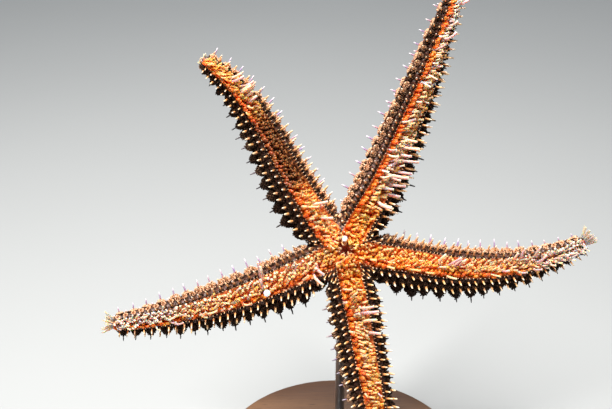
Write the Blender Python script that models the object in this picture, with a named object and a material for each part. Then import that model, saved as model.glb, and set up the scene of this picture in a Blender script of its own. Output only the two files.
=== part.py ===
"""A spiny sea star, life size, held up by its back on a plain display stand.

The star is modelled in its own frame: x to the right, y up and z out of its mouth side. One empty
leans that frame back and lifts it over the stand. The stand is modelled in the world's frame, with
the middle of the base's underside at the origin.
"""
import math
import random
from dataclasses import dataclass

import bmesh
import bpy
from mathutils import Matrix, Vector

MM = 0.001
GAP = 0.3 * MM

# How the star is held: its middle, and how far its upper arms lean away.
LEAN_DEG = 25.0
STAR_HEIGHT = 158 * MM
STAR_FORWARD = 12 * MM

# The body of one arm.
HALF_WIDTH = 11.5 * MM
TAPER = 0.70
TAPER_POWER = 2.2
ROUND_TIP_FROM = 0.955
ROUND_TIP_RINGS = (0.45, 0.78, 0.97)
ROLL_FULL_AT = 0.30
RING_STEP = 12 * MM
LINE_STEPS = 240

# One side of an arm's section, in half widths: out from the middle, and towards the mouth side.
GROOVE_FLOOR = (0.29, 0.32)
GROOVE_LIP = (0.50, 0.62)
FLANK_AND_BACK = ((0.80, 0.50), (1.00, 0.04), (0.86, -0.44), (0.45, -0.85))
CUTTER_TOP = 1.4

# Where the arms part from the disc, and where each is divided, as shares of what is left.
DISC_REACH = 27 * MM
ARM_DIVISIONS = (("inner", 0.0, 0.36), ("middle", 0.36, 0.70), ("tip", 0.70, 1.0))
CENTRE_OVERRUN = 6 * MM

DOME_RADIUS = 17 * MM
DOME_DEPTH = 12.5 * MM

MOUTH_RADIUS = 4.7 * MM
MOUTH_FLOOR = 1.0 * MM
MOUTH_THICK = 2.4 * MM
MOUTH_HOLE = 1.5 * MM

MADREPORITE_RADIUS = 2.6 * MM
MADREPORITE_FROM_MIDDLE = 9.5 * MM
MADREPORITE_DIRECTION_DEG = 98.0
MADREPORITE_SUNK = 1.0 * MM
MADREPORITE_PROUD = 0.8 * MM

ROD_RADIUS = 3.0 * MM
ROD_SUNK = 5.0 * MM
ROD_STRAIGHT = 15 * MM
ROD_BEND = 22 * MM
ROD_SIDES = 12

BASE_RADIUS = 75 * MM
BASE_THICK = 12 * MM
BASE_EDGE = 1.5 * MM
BASE_SIDES = 40

# Tube feet: two rows in the groove, in half widths from its middle, each row half a step on from the
# other. Where an arm stretches its feet, one row leans far out over the groove's edge.
FOOT_ROWS = (-0.18, 0.18)
FOOT_SPACING = 8.0 * MM
FOOT_RADIUS = 0.8 * MM
SUCKER_RADIUS = 1.3 * MM
SUCKER_HOLLOW = 0.5 * MM
FOOT_PROUD = 3.0 * MM
SHORTEST_PROUD = 0.55
FOOT_SINK = 1.2 * MM
FOOT_SIDES = 5
FOOT_WANDER = 0.15
STRETCHED_FOOT = 15 * MM
STRETCHED_LEAN = 0.8

# The thin feet at each arm's tip: how far each turns aside and up, against ahead.
FEELERS = ((-0.55, 0.15), (0.0, 0.7), (0.55, 0.15))
FEELER_RADIUS = 0.45 * MM
FEELER_LENGTH = 8.0 * MM
FEELER_FROM_TIP = 2.5 * MM
BARE_TIP = 2.0 * MM

# Spines, which lean a little towards the arm's tip, and are smaller where the arm is narrower.
SPINE_SINK = 1.6 * MM
SLENDER_SIDES = 3
CUSHION_SIDES = 4
SHORTEST_SPINE = 1.8 * MM
SMALLEST_SPINE_SCALE = 0.5
SPINE_WANDER = 0.08
SPINE_LEAN_AHEAD = 0.10
SPINE_CLEARANCE = 1 * MM
ROD_CLEARANCE = 4 * MM
SIGHT_LENGTH = 12 * MM
FURTHEST_ROOT = 3 * MM
SEED = 7

# The disc: where along each arm its tube feet stand, and how far from its middle the spines of its back
# stand, over each arm and between two arms.
DISC_FEET = (8.0 * MM, 14.5 * MM, 21.0 * MM)
DISC_KEEL_SPINES = (12.5 * MM, 20.5 * MM)
DISC_BETWEEN_SPINE = 13.5 * MM
DISC_SPINE_SPREAD = 18.0
PLATE_CLEARANCE = 0.5 * MM


@dataclass(frozen=True)
class SpineRow:
    """A row of spines that runs along an arm, on one side of it or on both.

    root and out are places and directions on the section. A spine narrows to its neck, at that share of
    its length, and a cushioned one is wide below it. No neck, 0, leaves it a plain spike.
    """

    name: str
    root: tuple
    out: tuple
    spacing: float
    length: float
    radius: float
    neck: float
    neck_radius: float
    cushioned: bool
    disc_from: float = 0.0


SPINE_ROWS = (
    SpineRow(
        "groove_edge", (0.60, 0.59), (0.55, 0.84), 7.6 * MM, 3.8 * MM, 0.8 * MM, 0, 0, False, 8 * MM
    ),
    SpineRow(
        "lower_edge",
        (0.90, 0.27),
        (0.88, 0.48),
        8.0 * MM,
        5.4 * MM,
        0.9 * MM,
        0.85,
        0.55 * MM,
        False,
        17 * MM,
    ),
    SpineRow(
        "upper_edge",
        (0.94, -0.17),
        (1.00, -0.22),
        8.2 * MM,
        7.6 * MM,
        2.7 * MM,
        0.5,
        1.05 * MM,
        True,
        21 * MM,
    ),
)
KEEL = SpineRow(
    "keel", (0.0, -0.85), (0.0, -1.0), 8.8 * MM, 6.2 * MM, 2.5 * MM, 0.5, 1.0 * MM, True
)


@dataclass(frozen=True)
class Arm:
    """One arm: how its middle line runs, in degrees, and its length from the disc's middle.

    Its groove turns aside by roll, and by twist more along the whole of its length. feet_lean tips its tube feet to one side, and between the two shares of its length in stretch the
    feet of that side are stretched far out.
    """

    name: str
    heading: float
    sweep: float
    curl: float
    lift: float
    rise: float
    roll: float
    twist: float
    length: float
    breadth: float
    feet_lean: float
    stretch: tuple


ARMS = (
    Arm("right", -16, 15, 33, -6, 18, 26, -36, 135.5 * MM, 1.00, 0.10, (0, 0)),
    Arm("top", 61.5, 16, -7, 0, 10, -8, -28, 153 * MM, 1.01, -0.35, (0.28, 0.55)),
    Arm("upper_left", 142.4, -104, 111, -8, 30, -22, 12, 132 * MM, 1.00, -0.25, (0.72, 0.95)),
    Arm("left", -149, -33, 9, -3, 12, -16, 36, 135 * MM, 1.00, -0.05, (0, 0)),
    Arm("lower", -81.4, 8, -8, 4, 8, 6, 2, 142 * MM, 1.01, 0.20, (0, 0)),
)

STAR_POSE = Matrix.Translation((0, -STAR_FORWARD, STAR_HEIGHT)) @ Matrix.Rotation(
    math.radians(90 - LEAN_DEG), 4, "X"
)


def clear_scene():
    """Takes away whatever objects the scene starts with."""
    for obj in list(bpy.data.objects):
        bpy.data.objects.remove(obj, do_unlink=True)


def material(name, colour, roughness, metallic=0.0):
    """A plain finish for one kind of part."""
    made = bpy.data.materials.new(name)
    made.use_nodes = True
    shader = made.node_tree.nodes["Principled BSDF"]
    shader.inputs["Base Color"].default_value = (*colour, 1.0)
    shader.inputs["Roughness"].default_value = roughness
    shader.inputs["Metallic"].default_value = metallic
    return made


def object_from(name, mesh_data, finish=None, parent=None):
    """A new object in the scene that shows this bmesh, which is freed."""
    mesh = bpy.data.meshes.new(name)
    mesh_data.to_mesh(mesh)
    mesh_data.free()
    obj = bpy.data.objects.new(name, mesh)
    bpy.context.scene.collection.objects.link(obj)
    if finish is not None:
        mesh.materials.append(finish)
    obj.parent = parent
    return obj


def smoothstep(x):
    """0 below 0, 1 above 1, and an even slope between."""
    x = min(max(x, 0.0), 1.0)
    return x * x * (3 - 2 * x)


def arm_line(arm):
    """Points and directions along the arm's middle line, in equal steps from the disc's middle."""
    step = arm.length / LINE_STEPS
    place = Vector((0, 0, 0))
    line = []
    for i in range(LINE_STEPS + 1):
        share = i / LINE_STEPS
        heading = math.radians(arm.heading + arm.sweep * share + arm.curl * share * share)
        pitch = math.radians(arm.lift + arm.rise * share)
        ahead = Vector(
            (
                math.cos(pitch) * math.cos(heading),
                math.cos(pitch) * math.sin(heading),
                math.sin(pitch),
            )
        )
        line.append((place.copy(), ahead))
        place = place + ahead * step
    return line


LINES = {arm.name: arm_line(arm) for arm in ARMS}


def arm_frame(arm, along):
    """The place, side, mouth-side and forward directions at a distance along the arm."""
    line = LINES[arm.name]
    index = min(max(along / arm.length, 0.0), 1.0) * LINE_STEPS
    low = min(int(index), LINE_STEPS - 1)
    share = index - low
    ahead = line[low][1].lerp(line[low + 1][1], share).normalized()
    place = line[low][0].lerp(line[low + 1][0], share)
    if along < 0:
        place = ahead * along
    up = (Vector((0, 0, 1)) - ahead * ahead.z).normalized()
    side = up.cross(ahead)
    share = min(max(along / arm.length, 0.0), 1.0)
    roll = math.radians(arm.roll + arm.twist * share) * smoothstep(share / ROLL_FULL_AT)
    turned_up = up * math.cos(roll) + side * math.sin(roll)
    return place, turned_up.cross(ahead), turned_up, ahead


def half_width(arm, along):
    """Half the width of the arm's body at a distance along it."""
    share = min(max(along / arm.length, 0.0), 1.0)
    width = HALF_WIDTH * arm.breadth * (1 - TAPER * share**TAPER_POWER)
    if share > ROUND_TIP_FROM:
        past = (share - ROUND_TIP_FROM) / (1 - ROUND_TIP_FROM)
        width *= math.sqrt(max(1 - past * past, 0.0))
    return width


def free_side(arm, place):
    """How far this point is from the bodies of the other arms."""
    nearest = math.inf
    for other in ARMS:
        if other is arm:
            continue
        for i in range(0, LINE_STEPS, 4):
            away = (LINES[other.name][i][0] - place).length
            nearest = min(nearest, away - half_width(other, other.length * i / LINE_STEPS))
    return nearest


def whole_section(*half):
    """A closed section from the points of its one side, in order round it."""
    return [*half, *[(-x, z) for x, z in reversed(half)]]


ARM_SECTION = whole_section(GROOVE_FLOOR, GROOVE_LIP, *FLANK_AND_BACK)
UNGROOVED_SECTION = whole_section(GROOVE_LIP, *FLANK_AND_BACK)
GROOVE_CUT_SECTION = whole_section((GROOVE_LIP[0], CUTTER_TOP), GROOVE_LIP, GROOVE_FLOOR)


def loft(rings):
    """A closed body through rings of the same number of points, with flat ends."""
    made = bmesh.new()
    loops = [[made.verts.new(p) for p in ring] for ring in rings]
    for near, far in zip(loops, loops[1:]):
        count = len(near)
        for i in range(count):
            j = (i + 1) % count
            made.faces.new((near[i], near[j], far[j], far[i]))
    made.faces.new(list(reversed(loops[0])))
    made.faces.new(loops[-1])
    bmesh.ops.recalc_face_normals(made, faces=made.faces[:])
    bmesh.ops.triangulate(made, faces=made.faces[:])
    return made


def arm_rings(arm, start, end, section):
    """Rings of the section along one stretch of the arm."""
    rings = []
    for along in stations(arm, start, end):
        place, side, up, _ = arm_frame(arm, along)
        width = half_width(arm, along)
        rings.append([place + (side * x + up * z) * width for x, z in section])
    return rings


def stations(arm, start, end):
    """The distances along an arm at which its rings stand, closer where its tip rounds off."""
    rounding = []
    if end == arm.length:
        end = arm.length * ROUND_TIP_FROM
        rounding = [end + (arm.length - end) * share for share in ROUND_TIP_RINGS]
    count = max(2, round((end - start) / RING_STEP))
    return [start + (end - start) * i / count for i in range(count + 1)] + rounding


def applied(obj):
    """Bakes the object's modifiers into its mesh."""
    graph = bpy.context.evaluated_depsgraph_get()
    mesh = bpy.data.meshes.new_from_object(obj.evaluated_get(graph))
    obj.modifiers.clear()
    obj.data = mesh
    return obj


def boolean_with(obj, others, operation):
    """Joins or cuts the object with others, which are then removed."""
    group = bpy.data.collections.new(obj.name + "_pieces")
    bpy.context.scene.collection.children.link(group)
    for other in others:
        for holder in list(other.users_collection):
            holder.objects.unlink(other)
        group.objects.link(other)
        other.parent = obj.parent
    step = obj.modifiers.new(operation.title(), "BOOLEAN")
    step.operation = operation
    step.operand_type = "COLLECTION"
    step.collection = group
    step.solver = "MANIFOLD"
    bpy.context.view_layer.update()
    applied(obj)
    for other in others:
        bpy.data.objects.remove(other, do_unlink=True)
    bpy.data.collections.remove(group)
    return obj


def keep_largest(obj):
    """Drops all but the largest closed surface of the object's mesh."""
    work = bmesh.new()
    work.from_mesh(obj.data)
    seen = set()
    parts = []
    for start in work.verts:
        if start in seen:
            continue
        part = [start]
        seen.add(start)
        for vert in part:
            for edge in vert.link_edges:
                other = edge.other_vert(vert)
                if other not in seen:
                    seen.add(other)
                    part.append(other)
        parts.append(part)
    parts.sort(key=surface_volume, reverse=True)
    for part in parts[1:]:
        bmesh.ops.delete(work, geom=part, context="VERTS")
    work.to_mesh(obj.data)
    work.free()
    return obj


def surface_volume(part):
    """The volume inside the faces of these vertices."""
    faces = {face for vert in part for face in vert.link_faces}
    total = 0.0
    for face in faces:
        corners = [vert.co for vert in face.verts]
        for second, third in zip(corners[1:], corners[2:]):
            total += corners[0].dot(second.cross(third)) / 6
    return abs(total)


def turned(profile, sides, place=Matrix.Identity(4)):
    """A closed round body from (radius, height) points, bottom to top, both ends on the axis."""
    made = bmesh.new()
    loops = []
    for radius, height in profile:
        if radius == 0:
            loops.append([made.verts.new((0, 0, height))])
            continue
        turn = math.tau / sides
        loops.append(
            [
                made.verts.new((radius * math.cos(i * turn), radius * math.sin(i * turn), height))
                for i in range(sides)
            ]
        )
    for low, high in zip(loops, loops[1:]):
        for i in range(sides):
            j = (i + 1) % sides
            corners = [low[i % len(low)], low[j % len(low)], high[j % len(high)], high[i % len(high)]]
            made.faces.new(list(dict.fromkeys(corners)))
    bmesh.ops.recalc_face_normals(made, faces=made.faces[:])
    bmesh.ops.transform(made, matrix=place, verts=made.verts[:])
    return made


def facing(place, out):
    """A frame at a place whose z axis points out."""
    return Matrix.Translation(place) @ out.to_track_quat("Z", "Y").to_matrix().to_4x4()


def cone(profile, sides, place, out):
    """A closed spike or stalk that stands at a place and points out."""
    return turned(profile, sides, facing(place, out))


def spine(row, scale, length, place, out):
    """One spine of a row, its root sunk into the body."""
    radius = row.radius * scale
    neck = ((row.neck_radius * scale, length * row.neck),) if row.neck else ()
    profile = ((0, -SPINE_SINK), (radius, -SPINE_SINK), *neck, (0, length))
    return cone(profile, CUSHION_SIDES if row.cushioned else SLENDER_SIDES, place, out)


def tube_foot(length, place, out):
    """One tube foot with its sucker, its root sunk into the groove's floor."""
    profile = (
        (0, -FOOT_SINK),
        (FOOT_RADIUS, -FOOT_SINK),
        (SUCKER_RADIUS, length),
        (0, length - SUCKER_HOLLOW),
    )
    return cone(profile, FOOT_SIDES, place, out)


def on_surface(body, outside, inward):
    """Where a line from outside first meets the body, or None."""
    hit, place, _, _ = body.ray_cast(outside, inward)
    return place if hit else None


def even(start, end, spacing):
    """Places about this far apart, with half a space left at each end."""
    count = max(1, round((end - start) / spacing))
    return [start + (end - start) * (i + 0.5) / count for i in range(count)]


def row_spines(arm, body, row, start, end):
    """The spines of one row that grow from one length of the arm."""
    draw = random.Random(f"{SEED} {arm.name} {row.name} {start:.4f}")
    grown = []
    for along in even(start, end, row.spacing):
        for hand in (-1, 1) if row.root[0] else (1,):
            at = along + draw.uniform(-SPINE_WANDER, SPINE_WANDER) * row.spacing
            place, side, up, ahead = arm_frame(arm, at)
            width = half_width(arm, at)
            scale = SMALLEST_SPINE_SCALE + (1 - SMALLEST_SPINE_SCALE) * width / HALF_WIDTH
            out = (
                side * hand * (row.out[0] + draw.uniform(-SPINE_WANDER, SPINE_WANDER))
                + up * (row.out[1] + draw.uniform(-SPINE_WANDER, SPINE_WANDER))
                + ahead * (SPINE_LEAN_AHEAD + draw.uniform(-SPINE_WANDER, SPINE_WANDER))
            ).normalized()
            aim = place + (side * hand * row.root[0] + up * row.root[1]) * width
            root = on_surface(body, aim + out * SIGHT_LENGTH, -out)
            if root is None or (root - aim).length > FURTHEST_ROOT:
                continue
            length = row.length * scale * draw.uniform(0.9, 1.1)
            length = min(length, (free_side(arm, root) - SPINE_CLEARANCE) / 2)
            if length < SHORTEST_SPINE or near_rod(root + out * length):
                continue
            grown.append(spine(row, scale, length, root, out))
    return grown


def near_rod(place):
    """Whether a spine's tip comes too near the rod that holds the star."""
    back = STAR_POSE @ place
    return any((back - point).length < ROD_RADIUS + ROD_CLEARANCE for point in rod_line()[1:])


def arm_feet(arm, body, places):
    """The tube feet at these distances along the arm, in two rows that alternate."""
    draw = random.Random(f"{SEED} {arm.name} feet {places[0]:.4f}")
    half_step = (places[1] - places[0]) / 4
    grown = []
    for along in places:
        for across in FOOT_ROWS:
            at = along + math.copysign(half_step, across)
            place, side, up, ahead = arm_frame(arm, at)
            width = half_width(arm, at)
            lean = across + arm.feet_lean + draw.uniform(-FOOT_WANDER, FOOT_WANDER)
            depth = (GROOVE_LIP[1] - GROOVE_FLOOR[1]) * width
            proud = FOOT_PROUD * (SHORTEST_PROUD + (1 - SHORTEST_PROUD) * width / HALF_WIDTH)
            length = depth + proud * draw.uniform(0.8, 1.15)
            if across * arm.feet_lean > 0 and arm.stretch[0] < at / arm.length < arm.stretch[1]:
                lean = math.copysign(STRETCHED_LEAN, arm.feet_lean)
                length = STRETCHED_FOOT * draw.uniform(0.8, 1.1) * width / HALF_WIDTH
            out = up + side * lean + ahead * draw.uniform(-FOOT_WANDER, FOOT_WANDER)
            above = place + side * across * width + up * SIGHT_LENGTH
            floor = on_surface(body, above, -up)
            if floor is not None:
                grown.append(tube_foot(length, floor, out.normalized()))
    return grown


def tip_feelers(arm):
    """The thin feet without suckers that spread from the arm's tip."""
    place, side, up, ahead = arm_frame(arm, arm.length - FEELER_FROM_TIP)
    grown = []
    for across, rise in FEELERS:
        out = (ahead + side * across + up * rise).normalized()
        profile = (
            (0, -FOOT_SINK),
            (FEELER_RADIUS * 1.3, -FOOT_SINK),
            (FEELER_RADIUS, FEELER_LENGTH * 0.9),
            (0, FEELER_LENGTH),
        )
        grown.append(cone(profile, SLENDER_SIDES, place, out))
    return grown


def fused(body, pieces):
    """The body with these pieces grown into it, as one closed surface."""
    others = [object_from("piece", piece) for piece in pieces]
    return keep_largest(boolean_with(body, others, "UNION"))


def madreporite_place():
    """Where the sieve plate lies on the disc's back, facing out."""
    turn = math.radians(MADREPORITE_DIRECTION_DEG)
    x = MADREPORITE_FROM_MIDDLE * math.cos(turn)
    y = MADREPORITE_FROM_MIDDLE * math.sin(turn)
    z = -DOME_DEPTH * math.sqrt(1 - (MADREPORITE_FROM_MIDDLE / DOME_RADIUS) ** 2)
    out = Vector((x / DOME_RADIUS**2, y / DOME_RADIUS**2, z / DOME_DEPTH**2)).normalized()
    return facing(Vector((x, y, z)), out)


def socket(radius, depth, height):
    """The profile of a round hole that leaves the gap round a piece of this radius and depth."""
    return ((0, -depth - GAP), (radius + GAP, -depth - GAP), (radius + GAP, height), (0, height))


def build_disc(pose, finish):
    """The disc with the roots of the arms, its grooves, and the holes that pieces stand in."""
    end = DISC_REACH - GAP / 2
    roots = [
        object_from("root", loft(arm_rings(arm, -CENTRE_OVERRUN, end, UNGROOVED_SECTION)))
        for arm in ARMS
    ]
    dome = bmesh.new()
    bmesh.ops.create_icosphere(dome, subdivisions=2, radius=1.0)
    squash = Matrix.Diagonal((DOME_RADIUS, DOME_RADIUS, DOME_DEPTH, 1))
    bmesh.ops.transform(dome, matrix=squash, verts=dome.verts[:])
    body = object_from("disc", dome, finish, pose)
    boolean_with(body, roots, "UNION")
    cutters = [
        object_from("groove", loft(arm_rings(arm, 0.0, DISC_REACH + 1 * MM, GROOVE_CUT_SECTION)))
        for arm in ARMS
    ]
    mouth = facing(Vector((0, 0, MOUTH_FLOOR + MOUTH_THICK)), Vector((0, 0, 1)))
    cutters.append(
        object_from("mouth_hole", turned(socket(MOUTH_RADIUS, MOUTH_THICK, 15 * MM), 20, mouth))
    )
    plate = socket(MADREPORITE_RADIUS, MADREPORITE_SUNK, 8 * MM)
    cutters.append(object_from("plate_hole", turned(plate, 12, madreporite_place())))
    back = facing(Vector((0, 0, -DOME_DEPTH)), Vector((0, 0, -1)))
    cutters.append(
        object_from("rod_hole", turned(socket(ROD_RADIUS, ROD_SUNK, 10 * MM), ROD_SIDES, back))
    )
    keep_largest(boolean_with(body, cutters, "DIFFERENCE"))
    return fused(body, disc_pieces(body))


def clear_of_grooves(arm, along):
    """Whether both edges of the arm's groove, here, lie outside the grooves of the other arms."""
    place, side, _, _ = arm_frame(arm, along)
    edge = GROOVE_LIP[0] * half_width(arm, along)
    near = [
        line[i][0]
        for name, line in LINES.items()
        if name != arm.name
        for i in range(LINE_STEPS // 4)
    ]
    return all(
        math.hypot(*(point - place - side * hand * edge).xy) > edge + SPINE_SINK / 2
        for point in near
        for hand in (-1, 1)
    )


def disc_pieces(body):
    """The spines and tube feet that grow from the disc."""
    grown = []
    draw = random.Random(f"{SEED} disc")
    plate = madreporite_place().translation
    behind = Vector((0, 0, -2 * DOME_DEPTH))
    for number, arm in enumerate(ARMS):
        for row in SPINE_ROWS:
            grown += disc_row(arm, body, row)
        grown += arm_feet(arm, body, DISC_FEET)
        following = ARMS[(number + 1) % len(ARMS)]
        turn = math.radians(arm.heading)
        next_turn = math.radians(following.heading)
        between = turn + ((next_turn - turn) % math.tau) / 2
        spots = [(turn, away) for away in DISC_KEEL_SPINES] + [(between, DISC_BETWEEN_SPINE)]
        for direction, away in spots:
            flat = Vector((math.cos(direction), math.sin(direction), 0)) * away
            root = on_surface(body, flat + behind, -behind.normalized())
            if root is None or (root - plate).length < MADREPORITE_RADIUS + KEEL.radius + PLATE_CLEARANCE:
                continue
            out = (behind.normalized() + flat * DISC_SPINE_SPREAD).normalized()
            if near_rod(root + out * KEEL.length):
                continue
            grown.append(spine(KEEL, 1.0, KEEL.length * draw.uniform(0.85, 1.0), root, out))
    return grown


def disc_row(arm, body, row):
    """The part of a row of spines that stands on the disc."""
    start = row.disc_from
    end = DISC_REACH - GAP / 2
    if row.name == "groove_edge":
        while not clear_of_grooves(arm, start):
            start += row.spacing / 4
    return row_spines(arm, body, row, start, end)


def build_mouth(pose, finish):
    """The soft ring round the mouth, with a dimple where it opens."""
    profile = (
        (0, 0),
        (MOUTH_RADIUS, 0),
        (MOUTH_RADIUS, MOUTH_THICK * 0.75),
        (MOUTH_RADIUS * 0.7, MOUTH_THICK),
        (MOUTH_HOLE, MOUTH_THICK * 0.7),
        (0, MOUTH_THICK * 0.35),
    )
    place = facing(Vector((0, 0, MOUTH_FLOOR)), Vector((0, 0, 1)))
    return object_from("mouth", turned(profile, 20, place), finish, pose)


def build_madreporite(pose, finish):
    """The sieve plate, a low button on the disc's back."""
    profile = (
        (0, -MADREPORITE_SUNK),
        (MADREPORITE_RADIUS, -MADREPORITE_SUNK),
        (MADREPORITE_RADIUS, MADREPORITE_PROUD * 0.3),
        (MADREPORITE_RADIUS * 0.7, MADREPORITE_PROUD * 0.9),
        (0, MADREPORITE_PROUD),
    )
    return object_from("madreporite", turned(profile, 12, madreporite_place()), finish, pose)


def build_arm(arm, pose, finish):
    """The arm's lengths, each a node of its own, with the gap between them."""
    left = arm.length - DISC_REACH
    for name, start_share, end_share in ARM_DIVISIONS:
        start = DISC_REACH + left * start_share + GAP / 2
        end = DISC_REACH + left * end_share - (GAP / 2 if end_share < 1 else 0)
        rings = arm_rings(arm, start, end, ARM_SECTION)
        body = object_from(f"arm_{arm.name}_{name}", loft(rings), finish, pose)
        pieces = []
        if end_share == 1:
            pieces += tip_feelers(arm)
            end -= BARE_TIP
        pieces += arm_feet(arm, body, even(start, end, FOOT_SPACING))
        for row in (*SPINE_ROWS, KEEL):
            pieces += row_spines(arm, body, row, start, end)
        fused(body, pieces)


def build_base(finish):
    """The flat round base, with a softened edge and a hole for the rod."""
    profile = (
        (0, 0),
        (BASE_RADIUS - BASE_EDGE, 0),
        (BASE_RADIUS, BASE_EDGE),
        (BASE_RADIUS, BASE_THICK - BASE_EDGE),
        (BASE_RADIUS - BASE_EDGE, BASE_THICK),
        (0, BASE_THICK),
    )
    base = object_from("stand_base", turned(profile, BASE_SIDES), finish)
    foot = rod_line()[0]
    hole = facing(Vector((foot.x, foot.y, BASE_THICK)), Vector((0, 0, 1)))
    cutter = object_from(
        "rod_socket", turned(socket(ROD_RADIUS, BASE_THICK / 2, 5 * MM), ROD_SIDES, hole)
    )
    return keep_largest(boolean_with(base, [cutter], "DIFFERENCE"))


def rod_line():
    """The rod's middle line: up from the base, round one bend, and into the disc's back."""
    inward = STAR_POSE.to_3x3() @ Vector((0, 0, 1))
    tip = STAR_POSE @ Vector((0, 0, -DOME_DEPTH + ROD_SUNK))
    bend_end = tip - inward * (ROD_SUNK + ROD_STRAIGHT)
    turn = math.acos(inward.z)
    up = Vector((0, 0, 1))
    towards = (inward - up * inward.z).normalized()
    bend_start = bend_end - towards * ROD_BEND * (1 - math.cos(turn)) - up * ROD_BEND * math.sin(turn)
    foot = Vector((bend_start.x, bend_start.y, BASE_THICK / 2))
    points = [foot, bend_start]
    steps = 8
    for i in range(1, steps + 1):
        angle = turn * i / steps
        points.append(
            bend_start
            + towards * ROD_BEND * (1 - math.cos(angle))
            + up * ROD_BEND * math.sin(angle)
        )
    return [*points, tip]


def build_rod(finish):
    """The bent rod that carries the star."""
    points = rod_line()
    rings = []
    across = Vector((1, 0, 0))
    for i, place in enumerate(points):
        before = points[max(i - 1, 0)]
        after = points[min(i + 1, len(points) - 1)]
        ahead = (after - before).normalized()
        other = ahead.cross(across)
        rings.append(
            [
                place
                + (across * math.cos(k * math.tau / ROD_SIDES) + other * math.sin(k * math.tau / ROD_SIDES))
                * ROD_RADIUS
                for k in range(ROD_SIDES)
            ]
        )
    return object_from("stand_rod", loft(rings), finish)


def main():
    """Builds the star and its stand."""
    clear_scene()
    skin = material("skin", (0.36, 0.13, 0.05), 0.6)
    membrane = material("membrane", (0.75, 0.22, 0.04), 0.45)
    plate = material("plate", (0.80, 0.62, 0.42), 0.7)
    wood = material("wood", (0.30, 0.19, 0.11), 0.5)
    steel = material("steel", (0.55, 0.56, 0.58), 0.35, 1.0)
    pose = bpy.data.objects.new("star_pose", None)
    bpy.context.scene.collection.objects.link(pose)
    pose.matrix_world = STAR_POSE
    bpy.context.view_layer.update()
    build_disc(pose, skin)
    build_mouth(pose, membrane)
    build_madreporite(pose, plate)
    for arm in ARMS:
        build_arm(arm, pose, skin)
    build_base(wood)
    build_rod(steel)


main()
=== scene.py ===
"""The looks of a spiny sea star, held by its back on a plain display stand.

The star is shaped in its own frame: x to the right, y up and z out of its mouth side, in metres, with
the origin in the middle of its disc. Its pieces are moved to the row frame last. The stand is shaped in
the row frame, with the middle of the base's underside at the origin.
"""

import logging
import math
from collections.abc import Callable
from dataclasses import dataclass, field
from enum import Enum
from functools import cached_property

import bpy
import numpy as np
from mathutils import Matrix, Vector
from mathutils.bvhtree import BVHTree


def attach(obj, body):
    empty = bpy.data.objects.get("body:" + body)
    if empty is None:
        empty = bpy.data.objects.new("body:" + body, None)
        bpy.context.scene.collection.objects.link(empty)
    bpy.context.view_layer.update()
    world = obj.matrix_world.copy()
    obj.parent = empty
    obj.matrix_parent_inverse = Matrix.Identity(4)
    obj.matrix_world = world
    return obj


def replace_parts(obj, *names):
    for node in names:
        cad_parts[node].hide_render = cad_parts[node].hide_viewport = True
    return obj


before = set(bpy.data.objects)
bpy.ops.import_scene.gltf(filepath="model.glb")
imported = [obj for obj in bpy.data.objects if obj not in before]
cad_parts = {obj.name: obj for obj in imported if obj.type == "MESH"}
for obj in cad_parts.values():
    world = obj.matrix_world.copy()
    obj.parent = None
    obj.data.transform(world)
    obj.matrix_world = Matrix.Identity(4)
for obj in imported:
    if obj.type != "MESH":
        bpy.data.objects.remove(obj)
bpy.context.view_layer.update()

LOG = logging.getLogger("sea star")
SEED = 7
MM = 0.001
TAU = math.tau
UP = np.array([0.0, 0.0, 1.0])
GOLDEN_TURN = math.pi * (3 - math.sqrt(5))

# How the star is held: its middle, and how far its upper arms lean away.
LEAN_DEG = 25.0
STAR_HEIGHT = 158 * MM
STAR_FORWARD = 12 * MM
STAR_POSE = Matrix.Translation((0, -STAR_FORWARD, STAR_HEIGHT)) @ Matrix.Rotation(
    math.radians(90 - LEAN_DEG), 4, "X"
)

# The body of one arm, and where the arms part from the disc.
HALF_WIDTH = 11.5 * MM
TAPER = 0.70
TAPER_POWER = 2.2
ROUND_TIP_FROM = 0.955
ROLL_FULL_AT = 0.30
BROWN_FADES_OVER = 0.12
LINE_STEPS = 240
DISC_REACH = 27 * MM
ARM_DIVISIONS = (0.0, 0.36, 0.70, 1.0)
CENTRE_OVERRUN = 6 * MM
LOFT_ENDS_AT = 0.9995
DOME_RADIUS = 17 * MM
DOME_DEPTH = 12.5 * MM

# One side of an arm's section, in half widths: out from the middle, and towards the mouth side.
GROOVE_FLOOR = (0.29, 0.32)
GROOVE_LIP = (0.50, 0.62)
FLANK_AND_BACK = ((0.80, 0.50), (1.00, 0.04), (0.86, -0.44), (0.45, -0.85))

MOUTH_RADIUS = 4.7 * MM
MOUTH_FLOOR = 1.0 * MM
MOUTH_THICK = 2.4 * MM

SIEVE_RADIUS = 2.6 * MM
SIEVE_FROM_MIDDLE = 9.5 * MM
SIEVE_DIRECTION_DEG = 98.0
SIEVE_SUNK = 1.0 * MM
SIEVE_PROUD = 0.8 * MM

ROD_RADIUS = 3.0 * MM
ROD_SUNK = 5.0 * MM
ROD_STRAIGHT = 15 * MM
ROD_BEND = 22 * MM
ROD_CLEARANCE = 4 * MM
BASE_RADIUS = 75 * MM
BASE_THICK = 12 * MM

# The map that each small thing brings for the bake: how wide its patch is, the map's bare margin, and
# how much of the disc it shows.
BAKE_MAP = "OFBake"
PATCH = 0.003
MAP_MARGIN = 0.01
DISC_ON_MAP = 40 * MM

Array = np.ndarray
Draw = np.random.Generator
Material = bpy.types.Material
Triple = tuple[float, float, float]
Colour = Triple
Values = dict[str, Array]

# A value's course along an arm: shares of the arm's length, and the values there.
Course = tuple[tuple[float, ...], tuple[float, ...]]


class Slot(Enum):
    """The record's material slots."""

    SKIN = "skin"
    MOUTH = "mouth_membrane"
    SIEVE = "sieve_plate"
    WOOD = "stand_wood"
    METAL = "stand_metal"


def unit(vectors: Array) -> Array:
    """Vectors of length 1 along these."""
    return vectors / np.maximum(np.linalg.norm(vectors, axis=-1, keepdims=True), 1e-12)


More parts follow.
